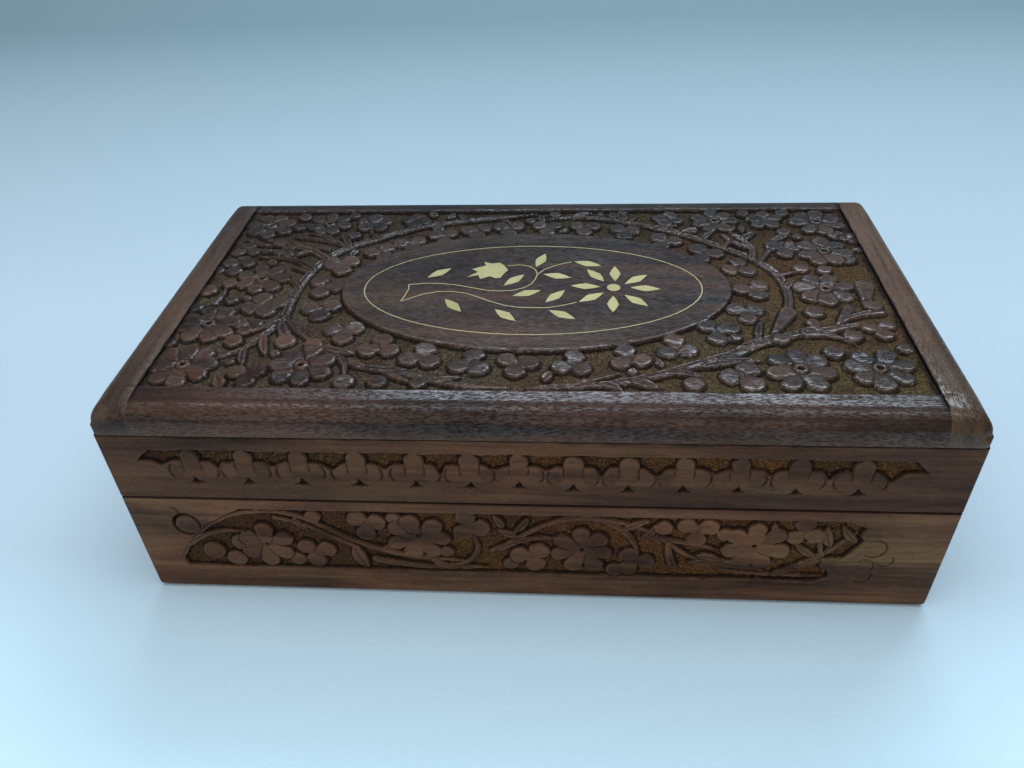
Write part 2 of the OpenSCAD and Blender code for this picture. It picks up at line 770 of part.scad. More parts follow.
mirror([1, 0, 0]) short_lining(lid_lining_z[0], lid_lining_z[1]);  // lid_lining_right
color(brass) inlay() border_wire_outline();  // inlay_border_wire
color(brass) inlay() stem_outline();  // inlay_stem_wires
color(brass) inlay() leaves_outline();  // inlay_leaves
color(brass) inlay() polygon(lobed_leaf);  // inlay_lobed_leaf
color(brass) inlay() petals_outline();  // inlay_flower_petals
color(brass) inlay() disc_outline();  // inlay_flower_disc
at_hinge(-1) hinge_leaf(-1);  // hinge_left_base_leaf
at_hinge(-1) hinge_leaf(1);  // hinge_left_lid_leaf
at_hinge(-1) hinge_pin();  // hinge_left_pin
at_hinge(-1) leaf_screws(-1);  // hinge_left_base_screws
at_hinge(-1) leaf_screws(1);  // hinge_left_lid_screws
at_hinge(1) hinge_leaf(-1);  // hinge_right_base_leaf
at_hinge(1) hinge_leaf(1);  // hinge_right_lid_leaf
at_hinge(1) hinge_pin();  // hinge_right_pin
at_hinge(1) leaf_screws(-1);  // hinge_right_base_screws
at_hinge(1) leaf_screws(1);  // hinge_right_lid_screws
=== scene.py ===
import math

import bmesh
import bpy
import numpy as np
from mathutils import Matrix, Vector


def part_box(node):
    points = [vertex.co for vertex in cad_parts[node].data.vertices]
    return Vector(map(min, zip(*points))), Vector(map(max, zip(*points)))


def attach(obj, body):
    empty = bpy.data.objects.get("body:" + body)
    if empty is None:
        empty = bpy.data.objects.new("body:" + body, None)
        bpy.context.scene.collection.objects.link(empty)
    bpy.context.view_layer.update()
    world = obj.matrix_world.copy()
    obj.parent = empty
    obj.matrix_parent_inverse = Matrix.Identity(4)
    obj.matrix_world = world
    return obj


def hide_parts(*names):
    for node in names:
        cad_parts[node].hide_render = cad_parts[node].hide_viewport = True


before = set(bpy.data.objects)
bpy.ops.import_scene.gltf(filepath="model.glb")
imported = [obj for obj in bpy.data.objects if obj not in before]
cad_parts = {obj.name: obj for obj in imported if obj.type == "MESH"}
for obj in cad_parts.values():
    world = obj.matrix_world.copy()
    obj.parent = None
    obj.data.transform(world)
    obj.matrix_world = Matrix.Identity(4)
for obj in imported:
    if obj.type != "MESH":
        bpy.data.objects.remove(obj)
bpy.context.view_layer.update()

# Lengths in the carving code are in millimetres, and become metres where a mesh is made.
MM = 0.001


def mm_box(node):
    low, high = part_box(node)
    return np.array(low) / MM, np.array(high) / MM


# Sizes of the box, from the frame

(HALF_W, HALF_D), TOP_Z = mm_box("lid_end_strip_right")[1][:2], mm_box("lid_top_board")[1][2]
BOARD_Z = mm_box("lid_top_board")[0][2]
BASE_H = mm_box("base_front_wall")[1][2]
LID_Z = mm_box("lid_front_wall")[0][2]
WALL_T = mm_box("base_left_wall")[1][0] + HALF_W
JOINT_X = mm_box("lid_end_strip_right")[0][0]
INNER_D = HALF_D - WALL_T
PIN_Y, PIN_Z = sum(mm_box("hinge_left_pin"))[1:] / 2

# Boards

GAP = 0.18               # half of the gap that shows at a glued joint
ROUND = 6.0              # round along the top edge
SHARP = 0.3              # round of the top's edges at a joint
CORNER = 1.7             # plan radius of the top's corners
WALL_CORNER = 1.0        # round of the walls' upright edges
KNUCKLE_ROOM = 2.3       # radius of the room round a hinge's knuckles

# Carving

STEP = 0.31              # grid step in the carved fields
CARVE = 1.4              # depth of the punched ground
WALL_RUN = 0.5           # run of the steep side of a motif
KNIFE_STRAY = 0.13       # how far a cut strays from its outline
WORN_RIM = 1.8           # width of a petal's worn rim
PETAL_TOP = -0.04        # top of the small flowers
STEM_TOP = -0.16         # middle of a stem's face
LEAF_BEND = 0.12         # sideways bend of a leaf, as a share of half its length
HOLE = 0.85              # radius of the hole in a flower's middle
OVAL_A, OVAL_B = 62.0, 35.5              # the raised oval's half axes
FIELD_LOW, FIELD_HIGH = -53.6, 53.9      # the top's carved field
BAND_LOW, BAND_HIGH = 10.7, 36.5         # the base's carved field


def smooth(t):
    t = np.clip(t, 0.0, 1.0)
    return t * t * (3.0 - 2.0 * t)


def lattice_noise(u, v, size, rng):
    """Smooth noise from -1 to 1 over the points, with bumps about size mm wide."""
    nu = int(np.ptp(u) / size) + 3
    nv = int(np.ptp(v) / size) + 3
    grid = rng.uniform(-1.0, 1.0, (nv, nu))
    fu, fv = (u - u.min()) / size, (v - v.min()) / size
    iu, iv = fu.astype(int), fv.astype(int)
    tu, tv = smooth(fu - iu), smooth(fv - iv)
    low = grid[iv, iu] * (1 - tu) + grid[iv, iu + 1] * tu
    high = grid[iv + 1, iu] * (1 - tu) + grid[iv + 1, iu + 1] * tu
    return low * (1 - tv) + high * tv


def curve(points, step=0.45):
    """Points along a smooth line through the given ones."""
    p = np.array(points, float)
    if len(p) == 2:
        n = max(int(np.linalg.norm(p[1] - p[0]) / step), 2)
        return p[0] + (p[1] - p[0]) * np.linspace(0, 1, n)[:, None]
    ends = [2 * p[0] - p[1], *p, 2 * p[-1] - p[-2]]
    out = []
    for a, b, c, d in zip(ends, ends[1:], ends[2:], ends[3:]):
        n = max(int(np.linalg.norm(c - b) / step), 1)
        t = np.arange(n)[:, None] / n
        out.append(0.5 * (2 * b + (c - a) * t + (2 * a - 5 * b + 4 * c - d) * t**2
                          + (3 * b - a - 3 * c + d) * t**3))
    return np.vstack([*out, p[-1:]])


def box_blur(a, k):
    """Mean over 2k+1 cells each way."""
    for axis in (0, 1):
        pad = [(0, 0), (0, 0)]
        pad[axis] = (k + 1, k)
        s = np.cumsum(np.pad(a, pad, mode="edge"), axis=axis)
        n = a.shape[axis]
        hi = np.take(s, np.arange(2 * k + 1, 2 * k + 1 + n), axis=axis)
        lo = np.take(s, np.arange(0, n), axis=axis)
        a = (hi - lo) / (2 * k + 1)
    return a


def wear(d, worn):
    """How far a motif is worn down at distance d inside its outline."""
    return worn * np.clip(1 - d / WORN_RIM, 0, 1) ** 1.3


class Relief:
    """A carved face: h holds heights in mm over the points (u, v), 0 where the wood is uncut."""

    def __init__(self, us, vs, seed):
        self.us, self.vs = np.asarray(us, float), np.asarray(vs, float)
        self.u, self.v = np.meshgrid(self.us, self.vs)
        self.h = np.zeros_like(self.u)
        self.ground = np.zeros_like(self.u)
        self.grime_and_gouge_shade = np.zeros_like(self.u)
        self.tone = np.full_like(self.u, 0.5)
        self.rng = np.random.default_rng(seed)
        # How far the knife strays from each outline.
        self.wobble = KNIFE_STRAY * self.noise(1.7)

    def noise(self, size):
        return lattice_noise(self.u, self.v, size, self.rng)

    def window(self, u0, u1, v0, v1):
        i0, i1 = np.searchsorted(self.us, (u0, u1))
        j0, j1 = np.searchsorted(self.vs, (v0, v1))
        return slice(j0, j1), slice(i0, i1)

    def around(self, x, y, r):
        w = self.window(x - r, x + r, y - r, y + r)
        return w, self.u[w] - x, self.v[w] - y

    def turned(self, x, y, r, turn):
        """The window round (x, y), and how far its points lie along turn and to its left."""
        w, px, py = self.around(x, y, r)
        return w, px * math.cos(turn) + py * math.sin(turn), -px * math.sin(turn) + py * math.cos(turn)

    def sink(self, d, depth, uneven=0.12):
        """Cut the ground down where d, the distance inside the field's outline, is positive."""
        rough = uneven * self.noise(1.1)
        rough += 0.12 * self.noise(4.0)
        inside = smooth(d / WALL_RUN + 0.5)
        self.h = np.where(inside > 0, (rough - depth) * inside, self.h)
        self.ground = np.maximum(self.ground, inside)

    def trim(self, inside):
        """Leave the wood uncut where inside is 0."""
        self.h *= inside
        self.ground *= inside

    def soil(self, grime_and_gouge_shade):
        self.grime_and_gouge_shade = np.maximum(self.grime_and_gouge_shade, grime_and_gouge_shade)

    def lift(self, w, d, top, cut=0.62):
        """Raise a motif to top where d, the distance inside its outline, is positive. A line cut
        deep is left round it in what it lies on."""
        d = d + self.wobble[w]
        level = np.max(top) if np.ndim(top) else top
        groove = level - cut * np.exp(-((d + 0.2) / 0.3) ** 2)
        self.h[w] = np.where((d > -0.7) & (d < 0.1), np.minimum(self.h[w], groove), self.h[w])
        up = smooth(d / WALL_RUN + 0.5)
        body = top - 0.04 * (1 - smooth(d / 0.4))
        self.h[w] += (body - self.h[w]) * up
        self.ground[w] = np.minimum(self.ground[w], 1 - up)
        self.tone[w] += (np.clip(self.rng.normal(0.5, 0.22), 0, 1) - self.tone[w]) * up

    def score(self, w, distance, width, depth):
        """Press a V-shaped line in, width mm wide and depth mm below what is there."""
        self.h[w] -= depth * np.clip(1 - 2 * distance / width, 0, 1)

    def lobe(self, x, y, turn, far, width, top, dish, fall, tilt, worn=0.0):
        """One petal from (x, y) along turn, with a round head that ends at far."""
        rho = width / 2
        c = far - rho
        w, p, q = self.turned(x, y, far + 1.2, turn)
        from_head = np.hypot(p - c, q)
        share = np.clip(p / (c + 1e-6), 0, 1)
        neck = np.minimum(rho * (0.3 + 0.7 * share ** 0.8) - np.abs(q), p)
        d = np.where(p > c, rho - from_head, neck)
        rim = np.clip(1 - (from_head / (0.8 * rho)) ** 2, 0, 1)
        body = top - dish * rim - fall * (1 - share) ** 1.5 + tilt * q
        self.lift(w, d, body - wear(d, worn))

    def flower(self, x, y, r, n, turn, ring=0.0, hole=0.0, dish=0.14, top=0.0, worn=0.0):
        """Petals round a middle, each cut out over its neighbours."""
        rng = self.rng
        s = math.sin(math.pi / n)
        width = 2 * r * s / (1 + s) * (1.0 if n > 5 else 1.12 if n > 3 else 1.1)
        for k in rng.permutation(n):
            a = math.radians(turn + 360 * k / n + rng.normal(0, 3.0))
            far = r * (1 + rng.uniform(-0.06, 0.04))
            self.lobe(x, y, a, far, width * rng.uniform(0.93, 1.05), top - rng.uniform(0, 0.2),
                      dish * rng.uniform(0.5, 1.5), 0.34, rng.normal(0, 0.045), worn * rng.uniform(0.6, 1.3))
        w, px, py = self.around(x, y, r)
        rr = np.hypot(px, py)
        if ring:
            slope = np.clip((rr - 1.2) / (ring - 1.2), 0, 1) ** 1.5
            self.lift(w, ring - rr, top + 0.04 - 0.25 * slope, 0.9)
            # The ring is given a lighter tone: burnished wood, and also a painted highlight.
            self.tone[w] = np.where(rr < ring, 0.7, self.tone[w])
        if hole:
            deep = top - 1.4 * (1 - smooth((rr / hole - 0.45) / 0.75)) + 9 * (rr > hole * 1.2)
            self.h[w] = np.minimum(self.h[w], deep)

    def disc(self, x, y, r, dish=0.14, top=-0.03, stretch=1.0, turn=0.0, worn=0.0):
        """One round petal or berry."""
        w, p, q = self.turned(x, y, r * stretch + 1, math.radians(turn))
        rr = np.hypot(p / stretch, q)
        body = top - dish * np.clip(1 - (rr / (0.8 * r)) ** 2, 0, 1) + self.rng.normal(0, 0.05) * q
        self.lift(w, r - rr, body - wear(r - rr, worn))

    def stem(self, points, w0, w1, side=0.15):
        """A flat blade that tapers from w0 to w1 along a smooth line, with a cut down its length. Its
        face leans a little towards low v."""
        line = curve(points)
        length = np.concatenate([[0], np.cumsum(np.linalg.norm(np.diff(line, axis=0), axis=1))])
        share = length / length[-1]
        width = (w0 + (w1 - w0) * share) / 2 * np.clip(0.35 + 5 * (1 - share), 0, 1)
        lo, hi = line.min(0) - 3, line.max(0) + 3
        whole = self.window(lo[0], hi[0], lo[1], hi[1])
        d = np.full(self.h[whole].shape, -9.0)
        mid = np.full(d.shape, 9.0)
        lean = np.zeros(d.shape)
        j0, i0 = whole[0].start, whole[1].start
        for k in range(0, len(line) - 1, 6):
            part, half = line[k:k + 7], width[k:k + 7]
            reach = half.max() + 1.2
            a, b = part.min(0) - reach, part.max(0) + reach
            w = self.window(a[0], b[0], a[1], b[1])
            local = (slice(max(w[0].start - j0, 0), max(w[0].stop - j0, 0)),
                     slice(max(w[1].start - i0, 0), max(w[1].stop - i0, 0)))
            w = (slice(local[0].start + j0, local[0].stop + j0),
                 slice(local[1].start + i0, local[1].stop + i0))
            u, v = self.u[w], self.v[w]
            if not u.size or d[local].shape != u.shape:
                continue
            for (ax, ay), (bx, by), ha, hb in zip(part, part[1:], half, half[1:]):
                sx, sy = bx - ax, by - ay
                span = math.hypot(sx, sy) + 1e-9
                t = np.clip(((u - ax) * sx + (v - ay) * sy) / span ** 2, 0, 1)
                far = np.hypot(u - ax - t * sx, v - ay - t * sy)
                inner = ha + (hb - ha) * t
                across = (-(u - ax) * sy + (v - ay) * sx) / span
                lean[local] = np.where(inner - far > d[local], across * np.sign(sx + 1e-9), lean[local])
                np.maximum(d[local], inner - far, out=d[local])
                # Distance to the cut, which runs beside the middle.
                off = across - side * inner * 2
                off = np.where((far < inner) & (inner > 0.5), np.abs(off), 9.0)
                np.minimum(mid[local], off, out=mid[local])
        self.lift(whole, d, STEM_TOP + 0.16 * np.clip(lean, -1.3, 0.8))
        self.score(whole, mid, 0.75, 0.4)

    def leaf(self, x0, y0, x1, y1, width, top=-0.03):
        """A pointed leaf from its foot to its tip, with two flanks that fall to a cut between them."""
        half = math.hypot(x1 - x0, y1 - y0) / 2
        ux, uy = (x1 - x0) / 2 / half, (y1 - y0) / 2 / half
        w, px, py = self.around((x0 + x1) / 2, (y0 + y1) / 2, half + 1.2)
        t = (px * ux + py * uy) / half
        q = -px * uy + py * ux + LEAF_BEND * half * (t * t - 1) * (1 if x0 > 0 else -1)
        wide = width / 2 * np.clip(1 - t * t, 0, 1) ** 0.7 * (1 - 0.3 * t)
        d = np.where(np.abs(t) < 1, wide - np.abs(q), -np.hypot(np.maximum(np.abs(t) - 1, 0) * half, q))
        self.lift(w, d, top - 0.3 * np.clip(1 - np.abs(q) / (wide + 0.05), 0, 1))
        self.score(w, np.where(np.abs(t) < 0.85, np.abs(q), 9.0), 0.6, 0.24)

    def fill(self, inside, sizes, tries=900):
        """Small petals and leaves where the ground is still bare and inside(x, y) holds."""
        rng = self.rng
        for r in sizes:
            xs = rng.uniform(self.us[0], self.us[-1], tries)
            ys = rng.uniform(self.vs[0], self.vs[-1], tries)
            for x, y in zip(xs, ys):
                if not inside(x, y):
                    continue
                w, px, py = self.around(x, y, r + 0.35)
                bare = self.ground[w][px * px + py * py < (r + 0.35) ** 2]
                if not bare.size or bare.min() < 0.9:
                    continue
                if rng.random() < 0.55:
                    self.disc(x, y, r, top=-rng.uniform(0.02, 0.25))
                else:
                    a = rng.uniform(0, 2 * math.pi)
                    dx, dy = (r + 0.7) * math.cos(a), (r + 0.7) * math.sin(a)
                    self.leaf(x - dx, y - dy, x + dx, y + dy, 1.5 * r, top=-rng.uniform(0.02, 0.3))

    def knife(self, points, width, depth):
        """A line cut with a knife, fading at both ends."""
        line = curve(points)
        n = len(line)
        for k, (x, y) in enumerate(line):
            w, px, py = self.around(x, y, width)
            fade = min(1.0, 4 * (k + 1) / n, 4 * (n - k) / n)
            cut = -depth * fade * np.clip(1 - 2 * np.hypot(px, py) / width, 0, 1)
            self.h[w] = np.minimum(self.h[w], cut)

    def knife_arc(self, x, y, rx, ry, turn, width, depth):
        """A knife line along part of an ellipse; turn holds the angles of its points in radians."""
        self.knife(list(zip(x + rx * np.cos(turn), y + ry * np.sin(turn))), width, depth)

    def marks(self):
        """Where the wood is punched ground, a worn edge that is also lightened as a painted highlight, or
        creases, hollows and steep sides darkened with painted shade, with grime along the joints.
        """
        self.h = np.minimum(self.h, 0.0)
        self.h = 0.7 * self.h + 0.3 * box_blur(self.h, 1)
        soft = box_blur(box_blur(self.h, 2), 2)
        near = box_blur(box_blur(self.h, 1), 1)
        slope = np.hypot(np.gradient(self.h, self.us, axis=1), np.gradient(self.h, self.vs, axis=0))
        side = smooth((slope - 0.9) / 1.5) * np.clip(-self.h / 0.35, 0, 1)
        # edge marks the upper rims, which are lightened: worn wood, and also a painted highlight.
        edge = smooth((self.h - soft) / 0.3) * (1 - side)
        # Painted shade: hollows and steep sides are marked dark, together with the joint grime and the shade
        # painted into gouge cuts.
        painted_shade_and_grime = np.maximum(np.maximum(smooth((near - self.h - 0.02) / 0.12), 0.8 * side), self.grime_and_gouge_shade)
        return np.stack([self.ground, edge, painted_shade_and_grime, self.tone], axis=-1)


# Meshes

def place_in_scene(obj):
    bpy.context.scene.collection.objects.link(obj)
    return obj


def link(name, mesh, body, slot, material, *nodes):
    """A piece that stands in for CAD nodes and rides on their body."""
    obj = place_in_scene(bpy.data.objects.new(name, mesh))
    mesh.materials.append(material)
    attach(obj, body)
    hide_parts(*nodes)
    return obj


def stops(*parts):
    """Grid lines from (start, end, step) parts, each run split evenly."""
    out = [parts[0][0]]
    for a, b, step in parts:
        n = max(int(round((b - a) / step)), 1)
        out.extend(a + (b - a) * (k + 1) / n for k in range(n))
    return np.array(out)


def round_stops(edge, r, inward, n):
    """Grid lines across a round of radius r that starts at edge; inward is 1 or -1."""
    t = np.linspace(0, math.pi / 2, n + 1)
    return edge + inward * r * (1 - np.cos(t))


def grid_line(start, end, steps, cuts=()):
    """Grid lines between two edges, each given as its place, the radius of its round and the number
    of lines on that. steps are those of the runs between the cuts."""
    (a, r0, n0), (b, r1, n1) = start, end
    at = [a + r0, *cuts, b - r1]
    runs = stops(*zip(at, at[1:], steps))[1:]
    return np.concatenate([round_stops(a, r0, 1, n0), runs, round_stops(b, r1, -1, n1)[-2::-1]])


def round_drop(d, r):
    """How far a round of radius r lies below the face, at distance d inside its edge."""
    x = np.clip(r - d, 0, r)
    return r - np.sqrt(np.maximum(r * r - x * x, 0))


def border_of(a):
    return np.concatenate([a[0, :-1], a[:-1, -1], a[-1, :0:-1], a[:0:-1, 0]])


def block_mesh(name, grid, rings, marks=None):
    """A closed mesh: a face from a grid of points, walls through rings of its border, and a back."""
    nv, nu = grid.shape[:2]
    idx = np.arange(nv * nu).reshape(nv, nu)
    quads = np.stack([idx[:-1, :-1], idx[:-1, 1:], idx[1:, 1:], idx[1:, :-1]], -1).reshape(-1, 4)
    points, faces = [grid.reshape(-1, 3)], [quads]
    last, count = border_of(idx), nv * nu
    for ring in rings:
        points.append(ring)
        new = np.arange(count, count + len(ring))
        count += len(ring)
        faces.append(np.stack([last, new, np.roll(new, -1), np.roll(last, -1)], -1))
        last = new
    points, faces = np.vstack(points), np.vstack(faces)
    mesh = bpy.data.meshes.new(name)
    mesh.vertices.add(len(points))
    mesh.vertices.foreach_set("co", (points * MM).ravel())
    loops = np.concatenate([faces.ravel(), last[::-1]])
    starts = np.arange(0, faces.size, 4)
    mesh.loops.add(len(loops))
    mesh.loops.foreach_set("vertex_index", loops.astype(np.int32))
    mesh.polygons.add(len(faces) + 1)
    mesh.polygons.foreach_set("loop_start", np.append(starts, faces.size).astype(np.int32))
    mesh.polygons.foreach_set("loop_total", np.append(np.full(len(faces), 4), len(last)).astype(np.int32))
    mesh.update(calc_edges=True)
    if marks is not None:
        layer = mesh.attributes.new("carve", "FLOAT_COLOR", "POINT")
        full = np.zeros((len(points), 4))
        full[:, 3] = 1
        full[:nv * nu] = marks.reshape(-1, 4)
        layer.data.foreach_set("color", full.ravel())
    mesh.shade_smooth()
    return mesh


# Each face's own axes: u to the right and v upward as seen from outside, w outward
FACES = {
    "top": (Vector((0, 0, TOP_Z)), Vector((1, 0, 0)), Vector((0, 1, 0)), Vector((0, 0, 1))),
    "front": (Vector((0, -HALF_D, 0)), Vector((1, 0, 0)), Vector((0, 0, 1)), Vector((0, -1, 0))),
    "back": (Vector((0, HALF_D, 0)), Vector((-1, 0, 0)), Vector((0, 0, 1)), Vector((0, 1, 0))),
    "left": (Vector((-HALF_W, 0, 0)), Vector((0, -1, 0)), Vector((0, 0, 1)), Vector((-1, 0, 0))),
    "right": (Vector((HALF_W, 0, 0)), Vector((0, 1, 0)), Vector((0, 0, 1)), Vector((1, 0, 0))),
}


def to_world(face, u, v, w):
    o, eu, ev, ew = (np.array(a) for a in FACES[face])
    return o + u[..., None] * eu + v[..., None] * ev + w[..., None] * ew


def slab(name, face, relief, thick, radii, inner_r, corner=0.0, foot=0.0, seams=()):
    """A board with a carved face. radii are its rounds at the left, right, low and high edges;
    corner rounds its plan at the corners whose two radii are the largest, foot at the two low ones.
    seams are the sides, -1 and 1 along u, that meet another board on the rounded edges."""
    u, v = relief.u, relief.v
    u0, u1, v0, v1 = relief.us[0], relief.us[-1], relief.vs[0], relief.vs[-1]
    left, right, low, high = radii
    big = max(radii)
    if corner:
        # The two rounds meet in a corner that is rounder towards the top.
        sides = ((u - u0, left), (u1 - u, right))
        across = np.maximum(*(np.clip(1 - e / r, 0, 1) if r == big else 0 * u for e, r in sides))
        along = np.maximum(np.clip(1 - (v - v0) / big, 0, 1), np.clip(1 - (v1 - v) / big, 0, 1))
        both = np.clip((across**5 + along**5) ** 0.2, 0, 1)
        drop = big * (1 - np.sqrt(1 - both**2))
        drop += sum(round_drop(e, r) for e, r in sides if r < big)
    else:
        drop = round_drop(u - u0, left) + round_drop(u1 - u, right)
        drop += round_drop(v - v0, low) + round_drop(v1 - v, high)
        if not seams:
            drop = np.minimum(drop, big)
    nu, nv = u.copy(), v.copy()
    rounded = corner or foot
    for eu, side, on in ((u0, 1, left), (u1, -1, right)):
        if not rounded or (corner and on <= 1):
            continue
        for ev, rise in ((v0, 1), (v1, -1))[:1 if foot else 2]:
            a = np.clip(1 - side * (u - eu) / rounded, 0, 1)
            b = np.clip(1 - rise * (v - ev) / rounded, 0, 1)
            at = (a > 0) & (b > 0)
            nu = np.where(at, eu + side * rounded * (1 - a * np.sqrt(1 - b * b / 2)), nu)
            nv = np.where(at, ev + rise * rounded * (1 - b * np.sqrt(1 - a * a / 2)), nv)
    for side in seams:
        inset = u - u0 if side < 0 else u1 - u
        nu += side * GAP * seam_shut(v) * np.clip(1 - inset, 0, 1)
        drop -= round_drop(inset, SHARP) * seam_shut(v)
    marks = relief.marks()
    grid = to_world(face, nu, nv, relief.h - drop)
    # The back's rings are the border drawn in towards the middle.
    bu, bv = border_of(nu), border_of(nv)
    mid_u, mid_v = (u0 + u1) / 2, (v0 + v1) / 2
    rings = []
    for k in np.linspace(0, math.pi / 2, 4):
        inset = inner_r * (1 - math.cos(k))
        level = -thick + inner_r * (1 - math.sin(k))
        ring_u = mid_u + (bu - mid_u) * (1 - 2 * inset / (u1 - u0))
        ring_v = mid_v + (bv - mid_v) * (1 - 2 * inset / (v1 - v0))
        rings.append(to_world(face, ring_u, ring_v, np.full_like(bu, level)))
    return block_mesh(name, grid, rings, marks)


def extent(mesh):
    co = np.empty(len(mesh.vertices) * 3)
    mesh.vertices.foreach_get("co", co)
    return co.reshape(-1, 3).min(0), co.reshape(-1, 3).max(0)


def boolean(obj, cutters):
    """Cut the cutters' solids out of the object's mesh. A cut that leaves something outside the old
    mesh has failed, and is made again with the cutters a hair's breadth away."""
    low, high = extent(obj.data)
    for c in cutters:
        m = obj.modifiers.new("cut", "BOOLEAN")
        m.operation, m.solver, m.object = "DIFFERENCE", "EXACT", c
    for shift in (0.0, 0.006, -0.006, 0.013, -0.013, 0.02):
        for c in cutters:
            c.location = (shift * MM, shift * MM, shift * MM)
        bpy.context.view_layer.update()
        deps = bpy.context.evaluated_depsgraph_get()
        mesh = bpy.data.meshes.new_from_object(obj.evaluated_get(deps), preserve_all_data_layers=True,
                                               depsgraph=deps)
        new_low, new_high = extent(mesh)
        if (new_low > low - 1e-6).all() and (new_high < high + 1e-6).all():
            break
        print("cut made again:", obj.name, shift)
    else:
        raise RuntimeError("the cut failed: " + obj.name)
    old = obj.data
    obj.modifiers.clear()
    obj.data = mesh
    bpy.data.meshes.remove(old)
    for c in cutters:
        bpy.data.objects.remove(c)


def prism(points, x0, x1):
    """A solid cutter: an outline of (y, z) points, from x0 to x1."""
    bm = bmesh.new()
    ends = [[bm.verts.new(Vector((x, y, z)) * MM) for y, z in points] for x in (x0, x1)]
    bm.faces.new(ends[0][::-1])
    bm.faces.new(ends[1])
    n = len(points)
    for k in range(n):
        bm.faces.new((ends[0][k], ends[0][(k + 1) % n], ends[1][(k + 1) % n], ends[1][k]))
    bmesh.ops.recalc_face_normals(bm, faces=bm.faces)
    mesh = bpy.data.meshes.new("cutter")
    bm.to_mesh(mesh)
    bm.free()
    return place_in_scene(bpy.data.objects.new("cutter", mesh))


def box_prism(x0, x1, y0, y1, z0, z1):
    return prism([(y0, z0), (y1, z0), (y1, z1), (y0, z1)], x0, x1)


# Materials

def srgb(*rgb):
    """A colour as seen on a screen, 0 to 255, as the linear values that a shader takes."""
    lin = [(c / 255) / 12.92 if c / 255 <= 0.04045 else ((c / 255 + 0.055) / 1.055) ** 2.4 for c in rgb]
    return (*lin, 1.0)


class Nodes:
    """Short calls for the node tree of one new material."""

    def __init__(self, name):
        self.mat = bpy.data.materials.new(name)
        self.mat.use_nodes = True
        self.tree = self.mat.node_tree
        self.tree.nodes.clear()

    def add(self, kind, inputs=None, **props):
        node = self.tree.nodes.new(kind)
        for k, v in props.items():
            setattr(node, k, v)
        for k, v in (inputs or {}).items():
            socket = node.inputs[k]
            if isinstance(v, bpy.types.NodeSocket):
                self.tree.links.new(v, socket)
            else:
                socket.default_value = v
        return node

    def math(self, op, a, b=0.0, clamp=False):
        return self.add("ShaderNodeMath", {0: a, 1: b}, operation=op, use_clamp=clamp).outputs[0]

    def times(self, a, b, clamp=False):
        return self.math("MULTIPLY", a, b, clamp)

    def plus(self, a, b, clamp=False):
        return self.math("ADD", a, b, clamp)

    def mix(self, factor, a, b, kind="MIX"):
        return self.add("ShaderNodeMix", {0: factor, 6: a, 7: b}, data_type="RGBA", blend_type=kind,
                        clamp_result=True).outputs[2]

    def ramp(self, value, *points):
        node = self.add("ShaderNodeValToRGB", {"Fac": value})
        elements = node.color_ramp.elements
        while len(elements) < len(points):
            elements.new(0.5)
        for e, (position, colour) in zip(elements, points):
            e.position, e.color = position, colour
        return node.outputs[0]

    def span(self, value, a, b, c=0.0, d=1.0):
        """value carried from the range a to b over to the range c to d, and held at its ends."""
        return self.add("ShaderNodeMapRange", {"Value": value, "From Min": a, "From Max": b,
                                              "To Min": c, "To Max": d}).outputs[0]

    def object_point(self):
        return self.add("ShaderNodeTexCoord").outputs["Object"]

    def object_axis(self, axis):
        return self.add("ShaderNodeSeparateXYZ", {"Vector": self.object_point()}).outputs[axis]

    def place(self, scale, turn=(0.0, 0.0, 0.0), move=(0.0, 0.0, 0.0)):
        """Object coordinates in metres, turned, then stretched by scale."""
        turned = self.add("ShaderNodeMapping", {"Vector": self.object_point(), "Rotation": turn,
                                                "Location": move})
        return self.add("ShaderNodeMapping", {"Vector": turned.outputs[0], "Scale": scale}).outputs[0]

    def noise(self, at, detail, rough, warp=0.0):
        return self.add("ShaderNodeTexNoise", {"Vector": at, "Scale": 1.0, "Detail": detail,
                                              "Roughness": rough, "Distortion": warp}).outputs["Fac"]

    def cells(self, at):
        return self.add("ShaderNodeTexVoronoi", {"Vector": at, "Scale": 1.0}).outputs["Distance"]

    def bump(self, height, distance, strength=1.0, normal=None):
        inputs = {"Height": height, "Distance": distance, "Strength": strength}
        if normal is not None:
            inputs["Normal"] = normal
        return self.add("ShaderNodeBump", inputs).outputs[0]

    def surface(self, **inputs):
        out = self.add("ShaderNodeOutputMaterial")
        names = {k.replace("_", " "): v for k, v in inputs.items()}
        shader = self.add("ShaderNodeBsdfPrincipled", names)
        self.tree.links.new(shader.outputs[0], out.inputs["Surface"])
        return self.mat


DARK, MID, WARM = srgb(31, 20, 17), srgb(60, 42, 35), srgb(86, 60, 46)
# The punched ground's brown and grey, its stains and its pale specks
GROUND = srgb(96, 78, 51), srgb(83, 78, 67), srgb(64, 47, 33), srgb(112, 96, 66)


